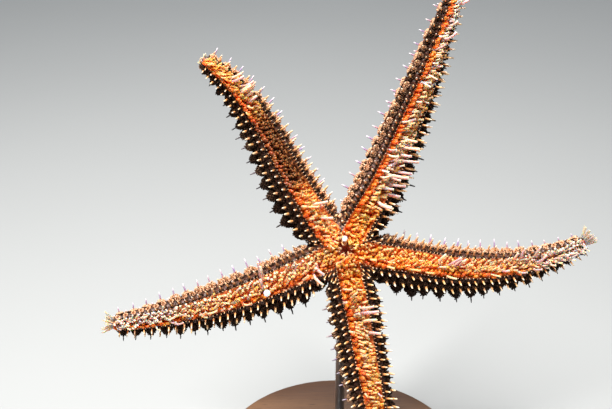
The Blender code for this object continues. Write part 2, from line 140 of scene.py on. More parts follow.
# Where the light comes from in the photograph. On that side the wreaths lie low and are painted pale as
# painted light; on the far side they stand up as dark cones, painted dark as shade.
LIGHT_SIDE = unit(np.array([-0.30, 0.95, 0.0]))


def smoothstep(x: Array | float) -> Array:
    """0 below 0, 1 above 1, and an even slope between."""
    x = np.clip(x, 0.0, 1.0)
    return x * x * (3 - 2 * x)


def band(x: Array, low: float, high: float, soft: float) -> Array:
    """1 between low and high, falling to 0 over soft on either side."""
    return smoothstep((x - low) / soft + 0.5) * smoothstep((high - x) / soft + 0.5)


def placed(name: str, data: bpy.types.ID) -> bpy.types.Object:
    """A new object in the scene.

    Args:
        name: its name.
        data: its mesh, light or camera.

    Returns:
        The object.
    """
    made = bpy.data.objects.new(name, data)
    bpy.context.scene.collection.objects.link(made)
    return made


def ripples(points: Array, shortest: float, longest: float, seed: int, waves: int = 14) -> Array:
    """An irregular field of soft lumps, from -1 to 1.

    Args:
        points: where it is read, in metres.
        shortest: the shortest distance from lump to lump.
        longest: the longest one.
        seed: which field.
        waves: how many plane waves it is the sum of.

    Returns:
        Its value at each point.
    """
    draw = np.random.default_rng(seed)
    directions = unit(draw.normal(size=(waves, 3)))
    lengths = draw.uniform(shortest, longest, waves)
    phases = draw.uniform(0, TAU, waves)
    total = np.sin(points @ (directions * (TAU / lengths)[:, None]).T + phases).sum(1)
    return np.clip(total / math.sqrt(waves) / 1.6, -1, 1)


def operator(operation: str, swapped: bool = False) -> Callable[["Socket", "Socket | float"], "Socket"]:
    """An operator between sockets, or a socket and a number, that adds a Math node.

    Args:
        operation: the node's operation.
        swapped: whether the other value comes first.

    Returns:
        The method behind the operator.
    """

    def combine(self: "Socket", other: "Socket | float") -> "Socket":
        """This value and the other through one Math node."""
        values = (other, self) if swapped else (self, other)
        return self.nodes.add("Math", {"operation": operation}, dict(enumerate(values)))

    return combine


class Socket:
    """A node's output, on which arithmetic adds Math nodes."""

    __add__ = operator("ADD")
    __radd__ = operator("ADD", swapped=True)
    __sub__ = operator("SUBTRACT")
    __rsub__ = operator("SUBTRACT", swapped=True)
    __mul__ = operator("MULTIPLY")
    __rmul__ = operator("MULTIPLY", swapped=True)

    def __init__(self, nodes: "Nodes", link: bpy.types.NodeSocket) -> None:
        """Keeps the output and the tree that it is in."""
        self.nodes = nodes
        self.link = link

    def step(self, low: float, high: float) -> "Socket":
        """0 at low, 1 at high, and smooth between."""
        settings = {"interpolation_type": "SMOOTHSTEP"}
        return self.nodes.add("MapRange", settings, {0: self, 1: low, 2: high})


class Nodes:
    """A material's node tree in the making."""

    def __init__(self, name: str) -> None:
        """Starts a material with an empty tree.

        Args:
            name: the material's name.
        """
        self.material = bpy.data.materials.new(name)
        self.material.use_nodes = True
        self.tree = self.material.node_tree
        self.tree.nodes.clear()

    def add(self, kind: str, settings: dict, inputs: dict, output: int | str = 0) -> Socket:
        """Adds one node.

        Args:
            kind: the node's type, without ShaderNode before it.
            settings: its own settings, such as a Math node's operation, which are set first.
            inputs: its sockets' numbers, colours or links, by index or name.
            output: which of its outputs is handed back.

        Returns:
            That output.
        """
        node = self.tree.nodes.new("ShaderNode" + kind)
        for key, value in settings.items():
            setattr(node, key, value)
        for key, value in inputs.items():
            target = node.inputs[key]
            if isinstance(value, Socket):
                self.tree.links.new(value.link, target)
            elif target.type == "RGBA":
                target.default_value = (*value, 1.0)
            else:
                target.default_value = value
        return Socket(self, node.outputs[output])

    def mix(self, factor: Socket | float, first: Socket | Colour, second: Socket | Colour) -> Socket:
        """A colour between two."""
        return self.add("Mix", {"data_type": "RGBA"}, {0: factor, 6: first, 7: second}, 2)

    def scaled(self, colour: Socket | Colour, factor: Socket) -> Socket:
        """A colour made darker or lighter by a factor."""
        return self.add("VectorMath", {"operation": "SCALE"}, {0: colour, "Scale": factor})

    def value(self, name: str) -> Socket:
        """What each point of the mesh carries under this name."""
        return self.add("Attribute", {"attribute_name": name}, {}, "Fac")

    def place(self, stretch: Triple | None = None) -> Socket:
        """The place on the object, stretched along its axes if asked."""
        found = self.add("TexCoord", {}, {}, "Object")
        return self.add("VectorMath", {"operation": "MULTIPLY"}, {0: found, 1: stretch}) if stretch else found

    def noise(self, size: float, detail: float = 2.0, at: Socket | None = None, twist: float = 0.0) -> Socket:
        """Noise with lumps of about this size in metres."""
        inputs = {"Vector": at or self.place(), "Scale": 1 / size, "Detail": detail, "Distortion": twist}
        return self.add("TexNoise", {}, inputs, "Fac")

    def pits(self, size: float) -> Socket:
        """How far each point is from the middle of the nearest of many pits, this far apart in metres."""
        return self.add("TexVoronoi", {}, {"Vector": self.place(), "Scale": 1 / size}, "Distance")

    def bump(self, height: Socket, depth: float) -> Socket:
        """A normal from a height of up to this depth in metres."""
        return self.add("Bump", {}, {"Strength": 1.0, "Distance": depth, "Height": height})

    def surface(self, constants: dict, **varying: Socket) -> Material:
        """Ends the tree in its shader.

        Args:
            constants: values that are the same all over, by the shader's socket names.
            varying: links for Base Color, Roughness and Normal, as colour, roughness and normal.

        Returns:
            The finished material.
        """
        names = {"colour": "Base Color", "roughness": "Roughness", "normal": "Normal"}
        links = {names[key]: link for key, link in varying.items()}
        shader = self.add("BsdfPrincipled", {}, constants | links)
        end = self.tree.nodes.new("ShaderNodeOutputMaterial")
        self.tree.links.new(shader.link, end.inputs["Surface"])
        return self.material


# What soft wet flesh has in common: a thin film of water, and how far red, green and blue light go in.
WET = {"Coat Weight": 0.22, "Coat Roughness": 0.22}
FLESHY = WET | {"Subsurface Radius": (0.0012, 0.0005, 0.0002)}


@dataclass(frozen=True)
class SkinFinish:
    """Moist skin: red-orange in the groove, browner where its feet are brown, partly as painted shade, nearly
    black on the flanks, partly their own dark skin and partly painted shade between the spines, and mottled
    brown behind.
    """

    groove: Colour = (0.80, 0.11, 0.006)
    groove_lit: Colour = (0.96, 0.26, 0.020)
    flank_and_painted_shade: Colour = (0.030, 0.010, 0.006)
    back: Colour = (0.17, 0.060, 0.022)
    back_dark: Colour = (0.055, 0.022, 0.012)
    rust: Colour = (0.42, 0.085, 0.018)
    peach: Colour = (1.00, 0.46, 0.19)
    umber_painted_shade: Colour = (0.15, 0.042, 0.012)
    grain_size: float = 0.9 * MM
    groove_mottle: float = 2.2 * MM
    back_mottle: float = 5 * MM
    pit_size: float = 0.7 * MM
    pit_depth: float = 0.22 * MM

    def make(self) -> Material:
        """The material."""
        n = Nodes("moist skin")
        fine = n.noise(self.grain_size, 3)
        mottled = n.noise(self.back_mottle, 3, twist=0.6)
        furrow = n.mix(n.noise(self.groove_mottle).step(0.35, 0.65), self.groove, self.groove_lit)
        furrow = n.mix(n.value("pale").step(0.1, 1.3), furrow, self.peach)
        # Painted shade, in part: the groove is browned where its feet are brown.
        furrow = n.mix(n.value("brown"), furrow, self.umber_painted_shade)
        behind = n.mix(mottled.step(0.38, 0.62), self.back_dark, self.back)
        # The flanks are nearly black: partly their own dark skin, partly painted shade between the spines.
        sides = n.mix(n.value("behind"), self.flank_and_painted_shade, behind)
        rusty = n.mix(n.value("rust") * fine.step(0.35, 0.6), sides, self.rust)
        return n.surface(
            FLESHY | {"Subsurface Weight": 0.08},
            colour=n.mix(n.value("groove"), rusty, furrow),
            roughness=0.34 + fine * 0.25,
            normal=n.bump(n.pits(self.pit_size) + fine * 0.8, self.pit_depth),
        )


@dataclass(frozen=True)
class FootFinish:
    """Tube feet: orange at the root, pink and clear towards a cream sucker, the stretched ones palest.

    depths are how far red, green and blue light go in.
    """

    deep: Colour = (0.86, 0.16, 0.008)
    orange: Colour = (0.97, 0.28, 0.020)
    glow: Colour = (1.00, 0.38, 0.060)
    white: Colour = (1.00, 0.72, 0.58)
    lilac: Colour = (0.62, 0.41, 0.42)
    amber: Colour = (1.00, 0.40, 0.080)
    cream: Colour = (1.00, 0.54, 0.25)
    bright: Colour = (1.00, 0.93, 0.92)
    brown: Colour = (0.10, 0.030, 0.010)
    shade: Colour = (0.74, 0.12, 0.010)
    depths: Triple = (0.0036, 0.0016, 0.0008)
    grain_size: float = 0.35 * MM
    grain_depth: float = 0.05 * MM

    def make(self) -> Material:
        """The material."""
        n = Nodes("tube feet")
        tip, tone, stretched = (n.value(name) for name in ("tip", "tone", "stretched"))
        # tone carries painted light: it is raised for feet on the groove's light side and lowered on its far
        # side.
        root = n.mix(tone, self.deep, self.orange)
        pale = n.mix(stretched * 0.65, self.glow, self.white)
        ends = n.mix(stretched.step(1.0, 1.25) - stretched.step(1.32, 1.45), pale, self.lilac)
        fading = (tip + stretched * 0.55 + tone * 0.10).step(0.20, 0.95)
        stalk = n.mix(fading, root, ends)
        warm = n.mix(tone.step(-0.1, 0.4), self.orange, self.amber)
        plain = n.mix(tone.step(0.45, 1.2), warm, self.cream)
        paler = n.mix(stretched.step(0.6, 1.4), plain, self.white)
        sucker = n.mix(stretched.step(1.6, 2.0), paler, self.bright)
        foot = n.mix(tip.step(0.84, 0.93), stalk, sucker)
        # Painted shade: the wall feet, with negative tone, take the shade colour.
        clean = n.mix((0.0 - tone).step(0.35, 0.75), foot, self.shade)
        # brown is partly the feet's own brown and partly painted shade where the arm bends away.
        colour = n.mix(n.value("brown") * (0.95 - 0.12 * tip.step(0.80, 0.95)), clean, self.brown)
        grain = n.noise(self.grain_size)
        return n.surface(
            {
                "Coat Weight": 0.08, "Coat Roughness": 0.30,
                "Subsurface Weight": 0.80, "Subsurface Radius": self.depths, "Subsurface Scale": 1.0,
            },
            colour=colour,
            roughness=0.30 + grain * 0.2,
            normal=n.bump(grain, self.grain_depth),
        )


@dataclass(frozen=True)
class SpineFinish:
    """Chalky spines, brown at the foot, violet towards a pale tip, and painted dark all over as painted shade
    where dusk is 1.
    """

    foot: Colour = (0.42, 0.14, 0.04)
    shaft: Colour = (0.92, 0.46, 0.16)
    violet: Colour = (0.30, 0.20, 0.48)
    tip: Colour = (1.00, 0.90, 0.76)
    amber: Colour = (1.00, 0.70, 0.34)
    pale: Colour = (0.86, 0.78, 0.96)
    grain_size: float = 0.25 * MM
    grain_depth: float = 0.05 * MM

    def make(self) -> Material:
        """The material."""
        n = Nodes("spines")
        tip, tone, violet = (n.value(name) for name in ("tip", "tone", "violet"))
        shaft = n.mix(violet, self.shaft, self.violet)
        low = n.mix(tip.step(0.25, 0.60), self.foot, shaft)
        plain = n.mix(tone, self.tip, self.amber)
        high = n.mix(tip.step(0.62, 0.92), low, n.mix(violet, plain, self.pale))
        grain = n.noise(self.grain_size)
        # dusk paints shade: the spines are darkened all over on the star's shaded side.
        return n.surface(
            {"Coat Weight": 0.15, "Coat Roughness": 0.3},
            colour=n.scaled(high, (0.85 + grain * 0.3) * (1 - 0.95 * n.value("dusk"))),
            roughness=0.42 + grain * 0.2,
            normal=n.bump(grain, self.grain_depth),
        )


@dataclass(frozen=True)
class WreathFinish:
    """The cushions of tiny pincers round the spines: dark below, tan on the pincers' heads, with painted
    light: lighter and rustier on the star's light side, and painted dark as shade on the far side and at the
    cushions' feet.
    """

    dark: Colour = (0.010, 0.005, 0.003)
    brown: Colour = (0.022, 0.009, 0.005)
    rust: Colour = (0.40, 0.18, 0.095)
    tan: Colour = (0.90, 0.52, 0.32)
    grain_size: float = 0.3 * MM
    grain_depth: float = 0.05 * MM

    def make(self) -> Material:
        """The material."""
        n = Nodes("pincer wreaths")
        tip, tone, light = (n.value(name) for name in ("tip", "tone", "light"))
        # light is painted light and shade: high on the star's light side, low on its far side and towards the
        # cushions' feet.
        low = n.mix(light * 0.85, n.mix(tone, self.dark, self.brown), self.rust)
        heads = n.mix(light, self.brown, self.tan)
        colour = n.mix(tip.step(0.0, 0.70) * (0.70 + 0.30 * tone), low, heads)
        grain = n.noise(self.grain_size)
        return n.surface(
            {"Specular IOR Level": 0.08},
            colour=colour,
            roughness=0.45 + grain * 0.2,
            normal=n.bump(grain, self.grain_depth),
        )


@dataclass(frozen=True)
class GillFinish:
    """Clear skin gills, rusty orange."""

    root: Colour = (0.34, 0.07, 0.02)
    tip: Colour = (0.80, 0.26, 0.08)

    def make(self) -> Material:
        """The material."""
        n = Nodes("skin gills")
        colour = n.mix(n.value("tip") * (0.5 + 0.5 * n.value("tone")), self.root, self.tip)
        return n.surface(WET | {"Subsurface Weight": 0.2, "Roughness": 0.35}, colour=colour)


@dataclass(frozen=True)
class MembraneFinish:
    """The soft ring round the mouth: salmon folds, painted dark as shade where it opens."""

    fold: Colour = (0.62, 0.24, 0.17)
    crease: Colour = (0.34, 0.095, 0.065)
    opening: Colour = (0.32, 0.095, 0.075)
    grain_size: float = 0.5 * MM
    grain_depth: float = 0.08 * MM

    def make(self) -> Material:
        """The material."""
        n = Nodes("mouth membrane")
        grain = n.noise(self.grain_size)
        folds = n.mix(n.value("fold"), self.crease, self.fold)
        return n.surface(
            FLESHY | {"Subsurface Weight": 0.2},
            # opening paints shade: the ring darkens where the mouth opens.
            colour=n.mix(n.value("opening"), folds, self.opening),
            roughness=0.25 + grain * 0.2,
            normal=n.bump(grain, self.grain_depth),
        )


@dataclass(frozen=True)
class SieveFinish:
    """The chalky sieve plate: cream ridges over brown furrows."""

    ridge: Colour = (0.80, 0.62, 0.42)
    furrow: Colour = (0.26, 0.13, 0.07)
    grain_size: float = 0.2 * MM
    grain_depth: float = 0.05 * MM

    def make(self) -> Material:
        """The material."""
        n = Nodes("sieve plate")
        grain = n.noise(self.grain_size)
        return n.surface(
            {"Coat Weight": 0.1},
            colour=n.mix(n.value("ridge"), self.furrow, self.ridge),
            roughness=0.5 + grain * 0.3,
            normal=n.bump(grain, self.grain_depth),
        )


@dataclass(frozen=True)
class EyeFinish:
    """The red eye spot at an arm's tip, a cushion of tiny cups."""

    red: Colour = (0.60, 0.012, 0.008)
    dark: Colour = (0.16, 0.004, 0.004)
    cup_size: float = 0.25 * MM
    cup_depth: float = 0.06 * MM

    def make(self) -> Material:
        """The material."""
        n = Nodes("eye spot")
        cups = n.pits(self.cup_size)
        colour = n.mix(cups.step(0.1, 0.6), self.red, self.dark)
        return n.surface(WET | {"Roughness": 0.25}, colour=colour, normal=n.bump(cups, self.cup_depth))


@dataclass(frozen=True)
class WoodFinish:
    """Oiled walnut, its grain along x."""

    early: Colour = (0.215, 0.105, 0.048)
    late: Colour = (0.082, 0.034, 0.016)
    pore: Colour = (0.030, 0.012, 0.007)
    ring_spacing: float = 9 * MM
    drift_size: float = 60 * MM
    drift_rings: float = 7.0
    fibre_size: float = 1.6 * MM
    pore_size: float = 0.55 * MM
    depth: float = 0.08 * MM

    def make(self) -> Material:
        """The material."""
        n = Nodes("oiled walnut")
        drift = n.noise(self.drift_size, at=n.place((0.35, 1.0, 1.0)))
        across = n.add("SeparateXYZ", {}, {0: n.place()}, "Y")
        turns = across * (1 / self.ring_spacing) + drift * self.drift_rings
        rings = n.add("Math", {"operation": "SINE"}, {0: turns})
        fibre = n.noise(self.fibre_size, 3, n.place((0.04, 1.0, 1.0)))
        pores = n.noise(self.pore_size, 1, n.place((0.05, 1.0, 1.0)))
        bands = (rings * 0.28 + 0.32 + fibre * 0.42).step(0.1, 0.95)
        tone = n.mix(bands, self.late, self.early)
        return n.surface(
            {"Coat Weight": 0.3, "Coat Roughness": 0.22},
            colour=n.mix(pores.step(0.60, 0.72) * 0.7, tone, self.pore),
            roughness=0.34 + fibre * 0.22,
            normal=n.bump(fibre * 0.6 - pores.step(0.58, 0.72) * 0.5, self.depth),
        )


@dataclass(frozen=True)
class SteelFinish:
    """Satin steel, finely ground round the rod."""

    colour: Colour = (0.56, 0.565, 0.58)
    line_size: float = 0.25 * MM
    line_depth: float = 0.015 * MM
    smudge_size: float = 14 * MM

    def make(self) -> Material:
        """The material."""
        n = Nodes("satin steel")
        lines = n.noise(self.line_size, at=n.place((0.06, 0.06, 1.0)))
        smudge = n.noise(self.smudge_size)
        return n.surface(
            {"Metallic": 1.0},
            colour=n.scaled(self.colour, 0.88 + smudge * 0.24),
            roughness=0.24 + lines * 0.16 + smudge * 0.08,
            normal=n.bump(lines, self.line_depth),
        )


@dataclass(frozen=True)
class FloorFinish:
    """A plain pale studio floor."""

    colour: Colour = (0.46, 0.475, 0.485)
    cloud_size: float = 0.5

    def make(self) -> Material:
        """The material."""
        n = Nodes("studio floor")
        cloud = n.noise(self.cloud_size)
        tone = n.scaled(self.colour, 0.97 + cloud * 0.06)
        return n.surface({"Specular IOR Level": 0.2}, colour=tone, roughness=0.75 + cloud * 0.1)


@dataclass
class Shape:
    """A mesh in the making.

    values are what its points carry, by name, and patches are their places on the map for the bake.
    """

    points: Array
    quads: Array
    triangles: Array
    values: Values = field(default_factory=dict)
    patches: Array | None = None

    def show(self, name: str, finish: Material, slot: Slot, pose: Matrix = STAR_POSE) -> bpy.types.Object:
        """Puts the mesh in the scene, on the root body.

        Args:
            name: the piece's name.
            finish: its material.
            slot: not used.
            pose: from the frame that it is shaped in to the row frame.

        Returns:
            The piece.
        """
        points = self.points @ np.array(pose.to_3x3()).T + np.array(pose.translation)
        mesh = bpy.data.meshes.new(name)
        mesh.vertices.add(len(points))
        mesh.vertices.foreach_set("co", points.astype(np.float32).ravel())
        corners = np.concatenate([self.quads.ravel(), self.triangles.ravel()]).astype(np.int32)
        sides = np.repeat([4, 3], [len(self.quads), len(self.triangles)])
        mesh.loops.add(len(corners))
        mesh.loops.foreach_set("vertex_index", corners)
        mesh.polygons.add(len(sides))
        mesh.polygons.foreach_set("loop_start", (np.cumsum(sides) - sides).astype(np.int32))
        mesh.update(calc_edges=True)
        mesh.polygons.foreach_set("use_smooth", np.full(len(sides), True))
        for key, numbers in self.values.items():
            kept = mesh.attributes.new(key, "FLOAT", "POINT")
            kept.data.foreach_set("value", numbers.astype(np.float32).ravel())
        if self.patches is not None:
            layer = mesh.uv_layers.new(name=BAKE_MAP)
            layer.uv.foreach_set("vector", self.patches[corners].astype(np.float32).ravel())
        mesh.materials.append(finish)
        piece = placed(name, mesh)
        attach(piece, "root")
        LOG.info("%s: %d triangles", name, 2 * len(self.quads) + len(self.triangles))
        return piece


def joined(shapes: list[Shape]) -> Shape:
    """Several shapes as one mesh."""
    offsets = np.cumsum([0] + [len(shape.points) for shape in shapes[:-1]])
    return Shape(
        np.concatenate([shape.points for shape in shapes]),
        np.concatenate([shape.quads + offset for shape, offset in zip(shapes, offsets)]),
        np.concatenate([shape.triangles + offset for shape, offset in zip(shapes, offsets)]),
        {key: np.concatenate([shape.values[key] for shape in shapes]) for key in shapes[0].values},
        None if shapes[0].patches is None else np.concatenate([shape.patches for shape in shapes]),
    )


def faces_round(rings: int, sides: int, first: int, ends: tuple[int, int]) -> tuple[Array, Array]:
    """The faces of a closed body that is made of rings of points.

    Args:
        rings: how many rings it has.
        sides: points round a ring.
        first: the number of the first ring's first point.
        ends: the numbers of the points that close the first ring and the last.

    Returns:
        (quads, 4) and (triangles, 3) numbers of points.
    """
    side = np.arange(sides)
    following = (side + 1) % sides
    low = first + np.arange(rings - 1)[:, None] * sides
    quads = np.stack([low + side, low + following, low + sides + following, low + sides + side], 2)
    last = first + (rings - 1) * sides
    opening = np.stack([np.full(sides, ends[0]), first + following, first + side], 1)
    closing = np.stack([np.full(sides, ends[1]), last + side, last + following], 1)
    return quads.reshape(-1, 4), np.concatenate([opening, closing])


def tubes(
    centres: Array,
    aheads: Array,
    radii: Array,
    sides: int,
    values: Values | None = None,
    roots: Array | None = None,
) -> Shape:
    """Closed round bodies, each along a line of its own.

    Args:
        centres: (bodies, rings, 3) middles of the rings. The first and last are the bodies' ends.
        aheads: (bodies, rings, 3) which way each ring faces.
        radii: (rings), (bodies, rings) or (bodies, rings, sides). The ends' radii aren't read.
        sides: points round a ring.
        values: (bodies, rings) or (bodies, 1) numbers for the points to carry, by name.
        roots: (bodies, 2) places of their roots on the map for the bake.

    Returns:
        All of them as one shape.
    """
    many, rings = centres.shape[:2]
    aheads = unit(aheads)
    if radii.ndim < 3:
        radii = np.broadcast_to(radii, (many, rings))[:, :, None]
    turn = np.arange(sides) * TAU / sides
    normal = np.cross(aheads[:, 0], np.eye(3)[np.abs(aheads[:, 0]).argmin(1)])
    loops = []
    for k in range(1, rings - 1):
        ahead = aheads[:, k]
        normal = unit(normal - ahead * (normal * ahead).sum(1, keepdims=True))
        across = np.cross(ahead, normal)
        circle = np.cos(turn)[:, None] * normal[:, None] + np.sin(turn)[:, None] * across[:, None]
        loops.append(centres[:, k, None] + circle * radii[:, k, :, None])
    body = np.stack(loops, 1).reshape(many, -1, 3)
    points = np.concatenate([centres[:, :1], body, centres[:, -1:]], axis=1)
    each = points.shape[1]
    quads, ends = faces_round(rings - 2, sides, 1, (0, each - 1))
    offsets = (np.arange(many) * each)[:, None, None]
    ring = np.concatenate([[0], np.repeat(np.arange(1, rings - 1), sides), [rings - 1]])
    carried = {
        key: np.broadcast_to(numbers, (many, rings))[:, ring].ravel()
        for key, numbers in (values or {}).items()
    }
    patches = None
    if roots is not None:
        fold = np.abs(2 * np.arange(sides) / sides - 1)
        flat = np.stack([np.concatenate([[0.5], np.tile(fold, rings - 2), [0.5]]), ring / (rings - 1)], 1)
        patches = (roots[:, None] + PATCH * (flat - 0.5)).reshape(-1, 2)
    quads = (quads + offsets).reshape(-1, 4)
    return Shape(points.reshape(-1, 3), quads, (ends + offsets).reshape(-1, 3), carried, patches)


def straight(places: Array, outs: Array, heights: Array) -> tuple[Array, Array]:
    """The ring middles and directions of bodies that stand straight, as tubes() asks for them.

    Args:
        places: (bodies, 3) their roots.
        outs: (bodies, 3) which way each points.
        heights: (rings) or (bodies, rings) how far from its root each ring is.

    Returns:
        (bodies, rings, 3) places and directions.
    """
    centres = places[:, None] + outs[:, None] * heights[..., None]
    return centres, np.broadcast_to(outs[:, None], centres.shape)


def bending(places: Array, starts: Array, ends: Array, lengths: Array, bend: Array) -> tuple[Array, Array]:
    """The ring middles and directions of bodies that bend, as tubes() asks for them.

    Args:
        places: (bodies, 3) their roots.
        starts: (bodies, 3) which way each leaves its root.
        ends: (bodies, 3) which way each bends to.
        lengths: (bodies) how long they are.
        bend: (rings) how far each ring has bent, from 0 to 1.

    Returns:
        (bodies, rings, 3) places and directions.
    """
    bend = bend[:, None]
    turning = unit(starts[:, None] * (1 - bend) + ends[:, None] * bend)
    steps = turning * (lengths / (len(bend) - 1))[:, None, None]
    return places[:, None] + np.cumsum(steps, 1) - steps, turning


def ball(centre: Array, out: Array, radius: float, depth: float, rings: int, sides: int) -> Shape:
    """A round body: its radius across the axis, and its depth along it."""
    angle = np.linspace(-math.pi / 2, math.pi / 2, rings)
    return tubes(*straight(centre, out, np.sin(angle) * depth), np.cos(angle) * radius, sides)


@dataclass(frozen=True)
class Arm:
    """One arm: how its middle line runs, in degrees, and its length from the disc's middle.

    Its groove turns aside by roll, and by twist more along the whole of its length. Between two shares
    of its length some tube feet reach far to the star's right and up: each of reaches is these four
    numbers. drift is where all its feet lean: to the star's right, and up. bloom is how pale and drawn
    out they are, as shares of its length and then values there. Between the shares in brown they are
    drawn in and brown, a brown that is partly their own and partly painted shade where the arm bends
    away. windward is how far the feet's roots are shifted against their lean, in half widths, and stray
    how far its loose feet lie along it. feelers is how long its feelers are, as a share. domes is how
    high the wreaths on its light side are, and cones how large those on its shaded edge, as shares of its
    length and then values there.
    """

    name: str
    heading: float
    sweep: float
    curl: float
    lift: float
    rise: float
    roll: float
    twist: float
    length: float
    breadth: float
    reaches: tuple[tuple[float, float, float, float], ...]
    drift: tuple[float, float]
    bloom: Course
    brown: tuple[float, float] = (2.0, 2.0)
    windward: float = 0.05
    stray: float = 0.0
    feelers: float = 1.0
    domes: Course = ((0.0, 1.0), (1.0, 1.0))
    cones: Course = ((0.0, 1.0), (1.0, 1.0))

    @cached_property
    def line(self) -> tuple[Array, Array]:
        """Points and directions along the middle line, in equal steps from the disc's middle."""
        share = np.linspace(0, 1, LINE_STEPS + 1)
        heading = np.radians(self.heading + self.sweep * share + self.curl * share * share)
        pitch = np.radians(self.lift + self.rise * share)
        flat = np.cos(pitch)
        ahead = np.stack([flat * np.cos(heading), flat * np.sin(heading), np.sin(pitch)], 1)
        steps = ahead[:-1] * (self.length / LINE_STEPS)
        return np.concatenate([np.zeros((1, 3)), np.cumsum(steps, 0)]), ahead

    def frames(self, along: Array) -> tuple[Array, Array, Array, Array]:
        """Where the arm's middle is at distances along it, and how its section is turned there.

        Args:
            along: the distances from the disc's middle. Below 0 the line runs on straight.

        Returns:
            The places, and the side, mouth-side and forward directions.
        """
        points, directions = self.line
        share = np.clip(along / self.length, 0, 1)
        index = share * LINE_STEPS
        low = np.minimum(index.astype(int), LINE_STEPS - 1)
        past = (index - low)[:, None]
        ahead = unit(directions[low] * (1 - past) + directions[low + 1] * past)
        place = points[low] * (1 - past) + points[low + 1] * past + ahead * np.minimum(along, 0)[:, None]
        up = unit(UP - ahead * ahead[:, 2:])
        side = np.cross(up, ahead)
        roll = (np.radians(self.roll + self.twist * share) * smoothstep(share / ROLL_FULL_AT))[:, None]
        turned = up * np.cos(roll) + side * np.sin(roll)
        return place, np.cross(turned, ahead), turned, ahead

    def half_width(self, along: Array) -> Array:
        """Half the width of the arm's body.

        Args:
            along: distances along the arm.

        Returns:
            The half width at each.
        """
        share = np.clip(along / self.length, 0, 1)
        width = HALF_WIDTH * self.breadth * (1 - TAPER * share**TAPER_POWER)
        past = np.clip((share - ROUND_TIP_FROM) / (1 - ROUND_TIP_FROM), 0, 1)
        return width * np.sqrt(1 - past * past)

    def section_at(self, points: Array, axes: int, least: float) -> tuple[Array, Array, Array, Array]:
        """Where points lie along the arm and in its section.

        Args:
            points: places in the star's frame.
            axes: how many of their axes count in finding the nearest place on the middle line.
            least: the least half width that distances in the section are measured in.

        Returns:
            The distance along the arm, (x, z) in the section and how far from the middle line in half
            widths, and the half width.
        """
        flat = points[:, :axes]
        line = self.line[0][::2, :axes]
        gap = (flat**2).sum(1)[:, None] - 2 * flat @ line.T + (line**2).sum(1)
        along = gap.argmin(1) * 2 * self.length / LINE_STEPS
        place, _, _, ahead = self.frames(along)
        along = along + ((points - place) * ahead).sum(1)
        place, side, up, _ = self.frames(np.clip(along, 0, self.length))
        width = np.maximum(self.half_width(along), least)
        away = (points - place) / width[:, None]
        section = np.stack([(away * side).sum(1), (away * up).sum(1)], 1)
        return along, section, np.linalg.norm(away, axis=1), width

    def places(self, start: float, end: float, spacing: float) -> Array:
        """Distances evenly set in the disc and in each length of the arm.

        Args:
            start: where they start.
            end: where they end.
            spacing: about how far apart they are.

        Returns:
            The distances from the disc's middle.
        """
        left = self.length - DISC_REACH
        limits = [start, *[DISC_REACH + left * share for share in ARM_DIVISIONS[:-1]], end]
        found = []
        for near, far in zip(limits, limits[1:]):
            if far - near >= spacing / 2:
                count = max(1, round((far - near) / spacing))
                found.append(near + (far - near) * (np.arange(count) + 0.5) / count)
        return np.concatenate(found)

    def browned_with_painted_shade(self, share: Array) -> Array:
        """How brown, partly as painted shade, and drawn in the tube feet are at shares of the arm's length.
        """
        return band(share, *self.brown, BROWN_FADES_OVER)

    def on_map(self, along: Array, around: Array) -> Array:
        """Places on the arm's own unwrap: around it from 0 to 1, and along it."""
        flat = np.stack([around, along / self.length], 1)
        return MAP_MARGIN + (1 - 2 * MAP_MARGIN) * np.clip(flat, 0, 1)


